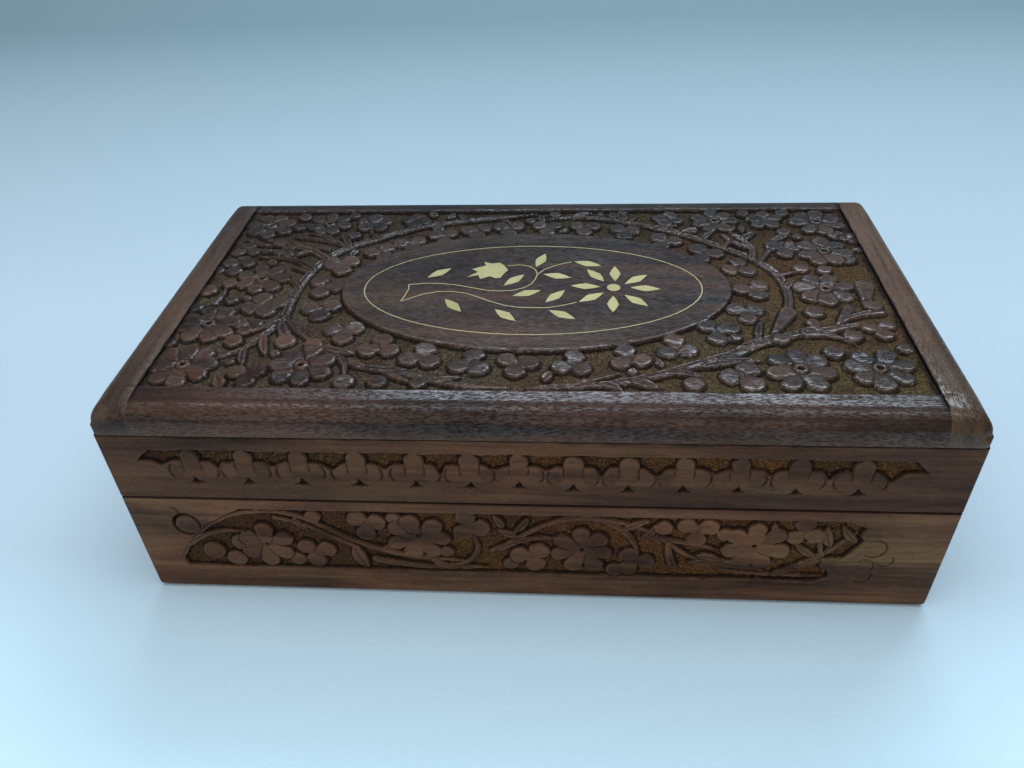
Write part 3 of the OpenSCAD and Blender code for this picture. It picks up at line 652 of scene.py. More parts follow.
def wood(name, move, gloss, coat, shine, dark=DARK, mid=MID, warm=WARM, ground=GROUND, back=0.0,
         grain="X"):
    """Dark oiled hardwood: streaks and pores along the grain, a punched ground, polished edges. back
    paints shade on it, darker towards the hinges."""
    n = Nodes(name)
    turn = (0.0, 0.0, math.pi / 2 if grain == "Y" else 0.0)

    def at(along, across):
        return n.place((along, across, across), turn, move)

    bands = n.noise(at(9, 75), 3.0, 0.55, 0.7)
    streaks = n.noise(at(22, 420), 4.0, 0.6, 0.4)
    fibres = n.noise(at(170, 2600), 2.0, 0.6)
    patches = n.noise(at(34, 34), 3.0, 0.6)
    figure = n.plus(n.times(bands, 0.75), n.times(patches, 0.25))
    colour = n.ramp(figure, (0.36, dark), (0.5, mid), (0.66, warm))
    colour = n.mix(n.span(streaks, 0.52, 0.72, 0.0, 0.65), colour, dark)
    colour = n.mix(n.span(streaks, 0.46, 0.3, 0.0, 0.3), colour, warm)
    colour = n.mix(n.span(fibres, 0.35, 0.65, 0.3, 0.0), colour, dark)
    pore = n.span(n.cells(at(330, 3400)), 0.3, 0.12)
    colour = n.mix(n.times(pore, 0.6), colour, srgb(20, 13, 12))
    rough = n.plus(n.span(fibres, 0.3, 0.7, gloss - 0.06, gloss + 0.1),
                   n.span(patches, 0.3, 0.7, -0.06, 0.08))
    height = n.math("SUBTRACT", n.times(fibres, 0.5), n.times(pore, 0.55))
    normal = n.bump(height, 0.00004)
    soft = n.noise(at(260, 260), 2.0, 0.5)

    # What the carving has marked: the ground, worn edges lightened partly as a painted highlight, hollows and
    # steep sides darkened with painted shade along with joint grime, and each motif's own tone
    carve = n.add("ShaderNodeAttribute", attribute_name="carve")
    low, edge, painted_shade_and_grime = n.add("ShaderNodeSeparateColor", {"Color": carve.outputs["Color"]}).outputs
    tone = carve.outputs["Alpha"]
    colour = n.mix(n.span(tone, 0.5, 0.1, 0.0, 0.45), colour, dark)
    stain = n.mix(patches, srgb(104, 78, 50), srgb(96, 60, 48))
    colour = n.mix(n.span(tone, 0.5, 0.9, 0.0, 0.3), colour, stain)

    # The ground is browner to the right.
    across = n.span(n.object_axis(0), -0.09, 0.09, 0.45, -0.45)
    grey = n.plus(n.span(n.noise(at(16, 16), 3.0, 0.6), 0.3, 0.7), across, clamp=True)
    stain = n.noise(at(70, 70), 3.0, 0.6)
    speck = n.noise(at(1500, 1500), 2.0, 0.7)
    earth = n.mix(grey, ground[0], ground[1])
    earth = n.mix(n.span(stain, 0.47, 0.68, 0.0, 0.8), earth, ground[2])
    earth = n.mix(n.span(speck, 0.6, 0.42, 0.0, 0.7), earth, srgb(34, 25, 19))
    earth = n.mix(n.span(speck, 0.58, 0.7, 0.0, 0.6), earth, ground[3])
    colour = n.mix(n.times(low, 0.92), colour, earth)
    # Worn rims are lightened, partly as a painted highlight.
    colour = n.mix(n.times(edge, n.span(soft, 0.4, 0.65, 0.0, 0.35)), colour, srgb(112, 80, 62))
    # Painted shade darkens the hollows and steep sides; the same mask also holds the grime on the joints.
    colour = n.mix(n.times(painted_shade_and_grime, 0.85), colour, srgb(14, 9, 7))
    rough = n.math("SUBTRACT", n.plus(rough, n.times(low, 0.3)), n.times(edge, 0.08))
    punch = n.times(n.span(n.cells(at(1150, 1150)), 0.1, 0.6), low)
    normal = n.bump(punch, 0.0004, 1.0, normal)
    normal = n.bump(n.times(speck, low), 0.0002, 1.0, normal)
    normal = n.bump(soft, 0.00008, 0.7, normal)

    # Broad reddish and olive areas, painted shade on the side towards the hinges and a darker front border
    hue = n.noise(at(15, 28), 2.0, 0.5)
    tint = n.mix(n.span(hue, 0.38, 0.62), srgb(255, 240, 234), srgb(240, 244, 232))
    colour = n.mix(1.0, colour, tint, "MULTIPLY")
    if back:
        # Painted shade: the wood darkens towards the hinges.
        y = n.object_axis(1)
        colour = n.mix(n.span(y, -0.005, 0.05, 0.0, back), colour, srgb(18, 12, 11))
        margin = n.times(n.span(y, -0.0525, -0.0545), n.span(y, -0.0622, -0.0595))
        colour = n.mix(n.times(margin, 0.4), colour, srgb(34, 22, 21))

    # The polish is broken up along the grain, and gone from the ground and the hollows.
    flecks = n.noise(at(560, 2300), 2.0, 0.65)
    polish = n.times(n.span(flecks, 0.44, 0.56, 0.08, 1.0), n.span(patches, 0.34, 0.58, 0.4 * coat, coat))
    polish = n.times(polish, n.span(edge, 0.0, 0.8, 0.85, 1.6))
    polish = n.times(polish, n.math("SUBTRACT", 1.0, n.math("MAXIMUM", low, painted_shade_and_grime)), clamp=True)
    gleam = n.span(flecks, 0.35, 0.62, 0.4 * shine, 1.4 * shine)
    return n.surface(Base_Color=colour, Roughness=rough, Normal=normal, Specular_IOR_Level=gleam,
                     Coat_Weight=polish, Coat_Roughness=0.16, Coat_IOR=1.5, Coat_Normal=normal)


def brass(name, tones, rough, scratch=0.00002, metal=0.85):
    n = Nodes(name)
    wear_noise = n.noise(n.place((55, 55, 55)), 4.0, 0.6)
    fine = n.noise(n.place((350, 2800, 900), (0.0, 0.0, 0.35)), 3.0, 0.6)
    spots = n.noise(n.place((700, 700, 700)), 3.0, 0.6)
    colour = n.mix(n.span(wear_noise, 0.42, 0.66, 0.0, 0.5), tones[0], tones[1])
    colour = n.mix(n.span(spots, 0.6, 0.78, 0.0, 0.45), colour, tones[2])
    rough = n.plus(n.span(fine, 0.3, 0.7, rough - 0.07, rough + 0.08),
                   n.span(wear_noise, 0.35, 0.7, -0.03, 0.08))
    normal = n.bump(spots, scratch * 1.5, 0.6, n.bump(fine, scratch))
    return n.surface(Base_Color=colour, Metallic=metal, Roughness=rough, Normal=normal)


def steel(name):
    n = Nodes(name)
    spots = n.noise(n.place((900, 900, 900)), 3.0, 0.6)
    colour = n.mix(n.span(spots, 0.4, 0.65), srgb(150, 148, 142), srgb(92, 84, 76))
    return n.surface(Base_Color=colour, Metallic=0.9, Roughness=n.span(spots, 0.3, 0.7, 0.32, 0.55),
                     Normal=n.bump(spots, 0.00004))


def plywood(name):
    n = Nodes(name)
    bands = n.noise(n.place((7, 60, 60)), 3.0, 0.55, 0.8)
    streaks = n.noise(n.place((20, 700, 300)), 4.0, 0.6)
    fibres = n.noise(n.place((160, 3000, 3000)), 2.0, 0.6)
    stains = n.noise(n.place((22, 22, 22)), 4.0, 0.65)
    colour = n.mix(n.span(bands, 0.35, 0.65), srgb(178, 146, 108), srgb(150, 116, 80))
    colour = n.mix(n.span(streaks, 0.5, 0.72, 0.0, 0.6), colour, srgb(112, 82, 54))
    colour = n.mix(n.span(stains, 0.55, 0.75, 0.0, 0.4), colour, srgb(96, 72, 50))
    return n.surface(Base_Color=colour, Roughness=n.span(fibres, 0.3, 0.7, 0.6, 0.8),
                     Normal=n.bump(n.plus(fibres, streaks), 0.0001))


def velvet(name):
    n = Nodes(name)
    pile = n.noise(n.place((2600, 2600, 2600)), 3.0, 0.7)
    stroke = n.noise(n.place((38, 26, 38), (0.0, 0.0, 0.5)), 3.0, 0.55, 1.2)
    weave = n.cells(n.place((1900, 1900, 1900)))
    colour = n.mix(n.span(stroke, 0.34, 0.66), srgb(106, 14, 24), srgb(130, 20, 32))
    colour = n.mix(n.span(pile, 0.55, 0.3, 0.0, 0.7), colour, srgb(58, 6, 12))
    normal = n.bump(n.plus(pile, n.times(weave, 0.5)), 0.00025)
    return n.surface(Base_Color=colour, Roughness=n.span(pile, 0.3, 0.7, 0.75, 0.95),
                     Normal=n.bump(stroke, 0.0006, 0.4, normal), Specular_IOR_Level=0.2,
                     Sheen_Weight=0.6, Sheen_Roughness=0.35, Sheen_Tint=srgb(232, 120, 128))


# Layout of the carving

def oval_distance(u, v, a, b):
    """Signed distance to an ellipse, positive outside."""
    f = np.sqrt((u / a) ** 2 + (v / b) ** 2) + 1e-9
    grad = np.sqrt((u / a**2) ** 2 + (v / b**2) ** 2) / f + 1e-9
    return (f - 1) / grad


TOP_STEMS = [
    # The left half: the long arc round the oval, and the stem along the front
    ([(-76, -24.2), (-77, -14.3), (-77, -0.4), (-75, 10.6), (-72, 18.5), (-66, 26.5), (-57.1, 32.5),
      (-49.1, 38), (-40.1, 42.6), (-27.2, 46.1), (-12.2, 49.2), (-1.2, 51.7)], 3.0, 2.0),
    ([(-77, -18.3), (-70.1, -25.2), (-61.1, -33.1), (-54.2, -39.1), (-47.2, -43), (-37.3, -45.5),
      (-28.3, -48.4), (-17.3, -51.4), (-4.4, -52.4)], 2.6, 1.8),
    ([(-77, -19.3), (-80, -27.2), (-84, -34.2), (-89, -38.2), (-91.9, -40.2)], 2.4, 1.0),
    ([(-76, -22.3), (-73.1, -26.2), (-72.6, -29.2)], 1.8, 1.2),
    ([(-78, -20.3), (-83, -24.3), (-88, -27.8)], 2.0, 1.0),
    ([(-70.1, -25.2), (-67.1, -28.7), (-64.1, -31.2)], 1.8, 1.0),
    ([(-54.2, -39.1), (-52.2, -43), (-51.2, -48)], 2.0, 1.2),
    ([(-40.2, -45), (-36.3, -48), (-31.3, -50.4)], 2.2, 1.4),
    ([(-75, 10.6), (-81, 16.5), (-87.9, 19.4), (-96.9, 19.9)], 2.6, 1.0),
    ([(-72, 18.5), (-79, 24.5), (-87.9, 27.9), (-97.8, 28.8), (-105.8, 32.3)], 2.8, 1.0),
    ([(-66, 26.5), (-72, 30.5), (-80, 32.9), (-87.9, 34.4)], 2.4, 1.0),
    ([(-77, -0.4), (-80, 3.6), (-84, 5.5)], 2.0, 1.0),
    ([(-77, -8.3), (-80, -9.4), (-82, -10.4)], 1.8, 1.0),
    ([(-101.8, -10.4), (-100.9, -4.5), (-101.8, 1.5)], 2.0, 1.0),
    ([(-57.1, 32.5), (-60.1, 37.5), (-61, 41.5)], 2.0, 1.0),
    ([(-49.1, 38), (-47.1, 41.5), (-46.1, 44.5)], 2.0, 1.0),
    # The right half
    ([(0.6, -52.4), (11.6, -51.3), (23.6, -49.8), (35.5, -46.2), (48, -40.5), (57, -36.5), (64, -31.2),
      (70, -28.3), (76, -26.3), (81, -24.3)], 1.8, 4.6),
    ([(81, -24.3), (86, -24), (91, -22.3), (96, -21.2), (102, -20.6)], 4.2, 1.0),
    ([(80, -25.4), (86, -26.2), (91, -28.6), (93, -30.8)], 3.0, 0.8),
    ([(89.6, -20.8), (94, -17.4), (99, -15), (106, -13.6)], 1.2, 3.4),
    ([(76.5, -15), (78.4, -8.7), (79.1, -0.7), (78.2, 7.3), (74.7, 14.3), (69.7, 20.2), (63.2, 25.7),
      (56.7, 31.1), (49.7, 35.6), (40.7, 40.5), (31.7, 44.5), (21.7, 47.9), (11.7, 48.8), (3.7, 47.3)], 2.8,
      1.8),
    ([(59.6, -33.2), (65.6, -31.7), (71.6, -28.7)], 1.6, 1.2),
    ([(71.7, 18.2), (72.7, 25.2), (70.7, 31.2), (66.7, 37.2)], 2.6, 1.0),
    ([(73.7, 16.2), (77.7, 23.2), (79.2, 29.2)], 2.2, 1.0),
    ([(63.2, 25.7), (65.7, 31.2), (63.7, 36.1)], 2.0, 1.0),
    ([(78.2, 7.3), (82.7, 9.3), (85.7, 10.8)], 1.8, 1.0),
    ([(11.6, -51.3), (19.6, -47.8), (25.6, -45.3)], 1.8, 1.0),
    ([(31.7, 44.5), (33.7, 47), (35.7, 50)], 1.8, 1.0),
]
TOP_LEAVES = [
    # foot, tip, width
    (-77, -20.3, -70.1, -33.2, 3.2), (-80, -27.2, -76.5, -38.2, 2.8), (-84, -34.2, -82, -43.1, 2.6),
    (-61.1, -33.1, -50.2, -36.6, 2.8), (-47.2, -43, -33.3, -44, 2.6), (-27.3, -48.9, -18.3, -47.4, 2.6),
    (-75, 9.6, -83, 12.5, 2.6), (-79, 24.5, -83.9, 19.5, 2.4), (-72, 30.5, -82.9, 37.4, 2.8),
    (-87.9, 27.9, -93.9, 33.3, 2.6), (-66, 26.5, -71, 35.4, 2.6), (-98.8, 19.4, -105.8, 16.4, 2.8),
    (-27.2, 46.1, -30.2, 52.1, 2.6), (19.6, -49.8, 26.5, -52.7, 2.8), (28.6, -48.7, 36.5, -52.2, 3.6),
    (39.5, -44.7, 48.5, -46.7, 2.6), (53.6, -37.7, 61.6, -39.7, 2.6), (66.0, -29.2, 69.2, -17.7, 2.2),
    (48, -42.2, 66, -38.8, 3.0), (79.1, -0.7, 83.2, 5.3, 2.2), (70.7, 31.2, 75.7, 37.2, 3.0),
    (66.7, 37.2, 69.7, 42.2, 2.6), (77.7, 23.2, 84.7, 30.3, 3.0), (79.2, 29.2, 87.7, 35.3, 3.0),
    (72.7, 25.2, 65.7, 31.2, 2.6), (56.7, 31.1, 61.7, 38.1, 2.6), (40.7, 40.5, 49.7, 42.1, 2.6),
    (11.7, 48.8, 19.7, 52.4, 2.6), (49.7, 35.6, 46.7, 40.5, 2.4),
]
TOP_BLADES = [
    # foot, turn, length, width at the round end
    (70.6, -26.0, 61, 16.0, 5.0), (101.2, -9.6, 78, 14.0, 6.0), (90.2, -20.6, 58, 11.2, 3.8),
    (83.8, -24.2, 98, 6.4, 4.4),
]
TOP_RINGED = [
    # middle, reach, number of petals, turn of the first
    (75, -42.7, 10.2, 7, 90), (96.2, -42.1, 10.0, 7, -90), (91, -1, 9.7, 7, 65), (96, 23.1, 9.6, 7, 90),
    (98, 44.3, 9.4, 7, 80), (62.6, 45.3, 8.5, 7, 100), (-99.5, -43, 10.3, 8, 96),
    (-64.7, -42.8, 9.9, 7, 75), (-99.3, -22, 10.0, 8, 60), (-90.7, 4.9, 9.2, 7, 110),
    (-98.8, 42.6, 9.4, 7, 70), (-77.2, 44, 8.6, 7, 95),
]
TOP_TREFOILS = [
    # the same for the small flowers
    (59.1, -46.4, 6.9, 3, 180), (55.2, -23.9, 6.9, 3, -100), (64.6, -13.9, 6.2, 3, -90),
    (69, -1.1, 6.4, 3, -70), (66.3, 12.6, 6.2, 3, 85), (56.5, 21.9, 6.7, 3, -120),
    (44.2, 30.5, 6.3, 3, -115), (30.5, 37.8, 6.1, 3, -100), (16.4, 40.6, 5.9, 3, -95),
    (3.1, 41, 6.0, 3, -90), (-10.8, 40.3, 6.0, 3, -85), (-22.2, 38.3, 6.2, 3, -80),
    (-33.8, 34.2, 6.2, 3, -75), (-44.5, 29.2, 6.2, 3, -70), (-54.1, 23, 6.2, 3, -60),
    (-66, 14.6, 6.9, 3, -75), (-68.3, 0.4, 6.9, 3, -110), (-66.3, -13.5, 6.7, 3, -80),
    (-56.1, -25.4, 6.9, 3, -85), (-44, -33.3, 6.8, 3, -150), (-30.9, -38, 6.9, 3, -160),
    (-16.1, -40.9, 6.8, 3, 80), (-3, -41.5, 6.6, 3, -100), (12.8, -41, 6.4, 3, 85),
    (28.4, -37.8, 6.6, 3, 100), (42.4, -32.4, 6.6, 3, 100), (102, -22.8, 5.4, 3, 160),
    (82.9, 25.3, 6.2, 3, -95), (80.3, 46, 6.6, 5, 90), (-85.2, -10.8, 7.4, 4, 20),
    (-79.6, -47.3, 5.9, 3, -80), (-102.4, 14, 6.2, 3, -90), (-102.4, 24.9, 5.4, 3, 90),
    (-87, -22.7, 5.2, 3, -90), (46.3, 47, 6.0, 4, 70), (-60.8, 44.8, 7.0, 5, 90), (-45.3, 46.7, 5.8, 4, 80),
    (29.1, 50.1, 4.2, 3, 60), (-88.3, 23.6, 4.6, 3, 70), (106.2, 32, 3.6, 3, 180),
]
TOP_DISCS = [
    # middle, radius
    (85.8, -34.4, 3.1), (45.5, -49.7, 3.1), (84.8, -14.1, 3.1), (93, -26.5, 3.0), (72.6, -28.2, 2.6),
    (103, -10.4, 2.9), (102.3, 17.8, 2.9), (93.3, 10.9, 2.6), (86.1, 11.9, 2.7), (102.4, 34.4, 2.8),
    (85.3, 36.9, 2.6), (-88.6, -30.9, 3.0), (-72.7, -30.8, 3.2), (-63.9, -32.5, 2.9), (-41.4, -50, 3.0),
    (-50.8, -50.2, 3.2), (-106.8, -2.3, 3.3), (-100.8, 2.1, 2.6), (-106.8, -12.4, 2.4), (-96.9, -8, 2.4),
    (-29.9, -50.5, 2.6), (105.6, -32.5, 2.2), (-91.9, 29.8, 2.6), (-66, 35.5, 2.6), (5.8, 50.8, 2.4),
    (-12.2, 44.3, 2.2), (-87.9, 49.7, 2.6), (73.5, 51.2, 2.4), (87.4, 51.3, 2.6), (-69, 50.8, 2.3),
    (-36.2, 40.2, 2.4), (59.6, -27.7, 2.0), (-107.8, -32.1, 2.0),
]


def border_fall(v):
    """The border falls a little towards the rounded edge."""
    return 0.05 * np.clip(np.abs(v) - 53.4, 0, 7)


def seam_shut(v):
    """The joints with the end strips are filled on the rounded edges."""
    return smooth((np.abs(v) - 58.5) / 1.5)


def rim_wear(x, y):
    """The petals' rims are worn most at the right, near the front."""
    return 0.27 if x > 30 and y < 15 else 0.08


def draw_top(r):
    wave = 0.2 * r.noise(16.0) + 0.1 * r.noise(3.0)
    border = np.minimum(r.v - FIELD_LOW, FIELD_HIGH - r.v)
    d = np.minimum(border, oval_distance(r.u, r.v, OVAL_A, OVAL_B)) + wave
    r.sink(d, CARVE * (0.5 + 0.5 * smooth((JOINT_X - np.abs(r.u)) / 4.0)))
    for points, w0, w1 in TOP_STEMS:
        r.stem(points, w0, w1)
    for leaf in TOP_LEAVES:
        r.leaf(*leaf)
    for x, y, turn, length, width in TOP_BLADES:
        r.lobe(x, y, math.radians(turn), length, width, -0.1, 0.04, 0.1, 0.13)
    for x, y, reach in TOP_DISCS:
        r.disc(x, y, reach, 0.08, worn=rim_wear(x, y))
    for x, y, reach, n, turn in TOP_TREFOILS:
        r.flower(x, y, reach, n, turn, top=PETAL_TOP, dish=0.08, worn=rim_wear(x, y))
    for x, y, reach, n, turn in TOP_RINGED:
        r.flower(x, y, reach, n, turn, ring=2.2, hole=HOLE, dish=0.1, worn=rim_wear(x, y))
    r.fill(lambda x, y: x < -52 or (y > 30 and x > 52), (3.0, 2.6, 2.2, 1.8))
    r.fill(lambda x, y: x < 40 or y > 15, (1.9, 1.5), 500)
    r.trim(smooth(d / WALL_RUN + 0.5))
    r.h -= border_fall(r.v)
    # Dirt has gathered along the joints with the end strips.
    ragged = 0.5 * r.noise(3.0)
    r.soil(smooth((np.abs(r.u) - JOINT_X + 1.9 + ragged) / 1.2) * (1 - seam_shut(r.v)))
    # The brass stands a little proud of the plain oval.
    r.h -= 0.05 * smooth(-oval_distance(r.u, r.v, OVAL_A - 1.5, OVAL_B - 1.5))


# The vine of the front and back walls. Its outlined petals lie beyond the field's end.
BASE_VINE = {
    "ends": (
        [(10, -107.5), (15, -108.6), (20, -105.8), (25, -102), (29, -98), (33, -92), (36, -86)],
        [(10, 84), (13, 89), (17, 87.5), (22, 92), (27, 95), (31, 97.5), (34, 96), (36, 91)],
    ),
    "pockets": [(-103.2, 29.4, 4.9)],
    "stems": [
        ([(-109.4, 12.8), (-104.5, 20.8), (-98.5, 27.3), (-90.6, 32.6), (-82.6, 35.1), (-74.7, 35.5),
          (-67.8, 33.5), (-60.8, 29.2), (-53.8, 24.4), (-45.9, 20.4), (-37.9, 17.9), (-29, 16.5),
          (-20, 15.5)], 1.5, 2.2),
        ([(-104.5, 20.8), (-98.5, 24.6), (-91.6, 26.6), (-85.6, 26.3)], 2.8, 0.6),
        ([(-75.7, 32.9), (-67.7, 30.3), (-59.8, 25.7), (-52.8, 20.9), (-50.2, 16.4)], 1.0, 2.0),
        ([(-46.9, 15.4), (-37.9, 13.3), (-27, 12.2), (-12.1, 12.9)], 2.6, 1.2),
        ([(-16.1, 26.5), (-15.1, 21.5), (-17, 17), (-21, 14), (-29, 12.1)], 1.4, 2.2),
        ([(-11.1, 20.5), (-5.1, 24.5), (-0.2, 28.5), (5.8, 32.5), (12.7, 35.1), (19.7, 35.1), (25.6, 32.3),
          (29.6, 28.1), (32.1, 22.6)], 1.3, 2.6),
        ([(-8.1, 21.8), (-2.2, 25.1), (3.8, 26.5), (9.8, 26.5)], 2.8, 0.6),
        ([(19.7, 35.3), (27.6, 33.7), (34.6, 30.6), (40.6, 26.1), (45.6, 21.6), (51.6, 18), (59.5, 14.3),
          (71.5, 12.9), (87.4, 12.7)], 1.6, 1.2),
        ([(34.6, 28.6), (44.6, 26.2), (51.5, 24.6), (56.5, 22.6)], 2.4, 0.8),
        ([(41.1, 25.6), (41.6, 20.6), (43.2, 14.6)], 1.4, 3.2),
        ([(73.5, 13.3), (79.4, 17.2), (85.4, 22.2), (90.3, 27.7), (94.3, 32.7)], 2.8, 1.0),
        ([(79.4, 17.2), (87.4, 20.2), (94.3, 20.7)], 2.2, 0.8),
        ([(85.4, 22.2), (84.3, 27.7), (87.3, 32.7)], 1.6, 1.0),
    ],
    "leaves": [
        (-52.8, 20.9, -49.6, 11.2, 4.4), (-30, 16, -21, 12, 2.6), (-69.7, 33.3, -65.8, 27.4, 2.2),
        (-43.9, 20.9, -36.9, 23.4, 2.2), (27.6, 30.6, 35.6, 35, 2.6), (47.1, 17.6, 70.5, 14.3, 3.4),
        (49.6, 20.6, 57.5, 18.6, 2.6), (83.4, 21.7, 77.4, 26.7, 2.8), (87.3, 25.7, 85.3, 34.1, 3.0),
        (-7.2, 30.5, -10.1, 35.5, 2.8), (-3.2, 26.5, -9.1, 29.5, 2.4), (94.3, 27.7, 89.3, 34.7, 2.6),
        (0.3, 35.1, -4.2, 28.5, 2.4), (38, 34, 33.6, 27.6, 2.2), (72.4, 28.7, 70.4, 35.2, 2.4),
    ],
    "flowers": [
        (-80.1, 20.9, 9.2, 6, 85), (-32.8, 26, 9.8, 7, 100), (15.9, 21.6, 9.6, 7, 95),
        (65.9, 25.1, 10.2, 7, 90),
    ],
    "trefoils": [
        (-65.2, 18, 6.7, 3, -100), (-47.7, 30.8, 6.5, 3, 140), (-17.1, 30.9, 6.6, 3, 110),
        (0.8, 18.3, 6.7, 3, -70), (31.5, 17.2, 6.2, 3, -120), (49.1, 31.2, 6.4, 3, 150),
        (79.3, 31.3, 6.0, 3, 100), (91, 16.9, 6.0, 3, 160),
    ],
    "discs": [
        (-97.5, 17.7, 3.6), (-91, 14.3, 3.3), (-63.6, 33.7, 2.5), (-71.5, 14.8, 2.7), (-39.3, 33.6, 2.4),
        (39.4, 32.2, 2.7), (25.7, 13.4, 2.5), (97.6, 31.3, 2.8), (-5.3, 14.9, 2.5), (57.1, 30, 2.6),
        (-24.6, 19.7, 2.2), (-88, 21.7, 3.2), (-102.9, 29.2, 3.7),
    ],
    "outlined": [
        (99.6, 25.6, 3.5, -150, 130), (103.6, 20.8, 2.4, -170, 60), (98.0, 18.0, 2.9, -60, 150),
        (98.4, 13.6, 2.7, -150, 60), (-107.0, 34.2, 2.9, -70, 100),
    ],
}
# The vine of the left and right walls
SIDE_VINE = {
    "ends": (
        [(10, -46), (14, -51), (26, -51.5), (33, -49), (36, -44)],
        [(10, 49), (18, 50), (26, 51.5), (32, 50), (36, 45)],
    ),
    "pockets": [],
    "stems": [
        ([(-52, 14), (-46, 22), (-36, 29), (-24, 33.8), (-12, 33.4), (-3, 28.5), (2, 24)], 1.5, 2.2),
        ([(-48, 20), (-38, 24.5), (-31, 25)], 2.6, 0.6),
        ([(0, 25), (8, 19), (18, 14), (30, 12.2), (50, 12.6)], 2.4, 1.4),
        ([(8, 31), (14, 33.5), (26, 34)], 2.0, 1.0),
        ([(36, 13), (42, 18), (45, 25), (50, 31)], 2.6, 1.0),
    ],
    "leaves": [
        (-30, 31, -33, 35, 2.6), (2, 24, 9, 27, 2.8), (18, 14, 12, 10.8, 2.6), (42, 18, 50, 20, 2.8),
        (-49, 27, -43, 34, 2.8), (16, 30, 21, 34, 2.6),
    ],
    "flowers": [
        (-24.5, 20.6, 9.2, 7, 90), (25.5, 24.0, 9.8, 7, 75),
    ],
    "trefoils": [
        (-43.0, 15.6, 6.0, 3, 80), (-5.6, 17.2, 6.5, 3, -95), (7.6, 30.2, 6.0, 3, 130),
        (41.0, 30.2, 5.8, 3, 100),
    ],
    "discs": [
        (-12.0, 31.0, 2.5), (13.6, 21.4, 2.6), (49.0, 26.6, 2.5), (-35.0, 13.4, 2.6), (48.4, 15.2, 2.4),
        (-37.4, 20.0, 2.4),
    ],
    "outlined": [],
}
# Single knife cuts on the front of the base
FRONT_CUTS = [
    [(-117.6, 37.9), (-112, 37.4), (-104.6, 37.1)], [(-80.6, 9.1), (-77.6, 7.9)], [(59, 10.9), (89, 10.4)],
    [(101, 38.4), (107, 38.1)], [(30, 5.4), (44, 5.2)],
]
# Middles of the clovers on the lid's front
CLOVERS = [-95.1, -79.7, -63.3, -47, -30.6, -15.2, -1.8, 13.6, 28.5, 43.3, 58.2, 74.1, 90.4]


def draw_band(r, vine, flip):
    """The vine along a base wall; flip mirrors the layout. The vine's ends give the outline of the
    punched field at its two ends, as (v, u) points."""
    s = -1 if flip else 1
    u = s * r.u
    wave = 0.2 * r.noise(14.0) + 0.12 * r.noise(3.0)
    left, right = (np.interp(r.v, *np.array(end, float).T) for end in vine["ends"])
    d = np.minimum(r.v - BAND_LOW, BAND_HIGH - r.v)
    d = np.minimum(d, 0.8 * np.minimum(u - left, right - u)) + wave
    for x, y, reach in vine["pockets"]:
        d = np.maximum(d, reach - np.hypot((u - x) / 0.9, r.v - y) + wave)
    r.sink(d, 1.3, 0.17)
    for points, w0, w1 in vine["stems"]:
        r.stem([(s * x, y) for x, y in points], w0, w1, 0.15 * s)
    for x0, y0, x1, y1, w in vine["leaves"]:
        r.leaf(s * x0, y0, s * x1, y1, w)
    for x, y, reach in vine["discs"]:
        r.disc(s * x, y, reach)
    for kind, look in (("trefoils", dict(top=PETAL_TOP)), ("flowers", dict(hole=HOLE))):
        for x, y, reach, n, turn in vine[kind]:
            r.flower(s * x, y, reach, n, turn if s > 0 else 180 - turn, **look)
    r.trim(smooth(d / WALL_RUN + 0.5))
    for x, y, size, a0, a1 in vine["outlined"]:
        r.knife_arc(s * x, y, s * size, size, np.radians(np.linspace(a0, a1, 7)), 0.85, 0.6)


def star(r, x, y, size):
    """A star with three points, cut with three strokes of a gouge and darkened with painted shade."""
    for turn, reach, wide in ((90, 0.8, 0.3), (198, 1.0, 0.26), (-18, 1.0, 0.26)):
        w, p, q = r.turned(x, y, size * 1.2, math.radians(turn + r.rng.normal(0, 4)))
        d = wide * size * np.clip(1 - p / (reach * size), 0, 1) - np.abs(q)
        d = np.where(p > -0.3 * size, d, -1)
        r.h[w] = np.minimum(r.h[w], -np.clip(2.4 * d, 0, 1.3))
        # Painted shade darkens the gouge cuts.
        r.grime_and_gouge_shade[w] = np.maximum(r.grime_and_gouge_shade[w], smooth(d / 0.25))


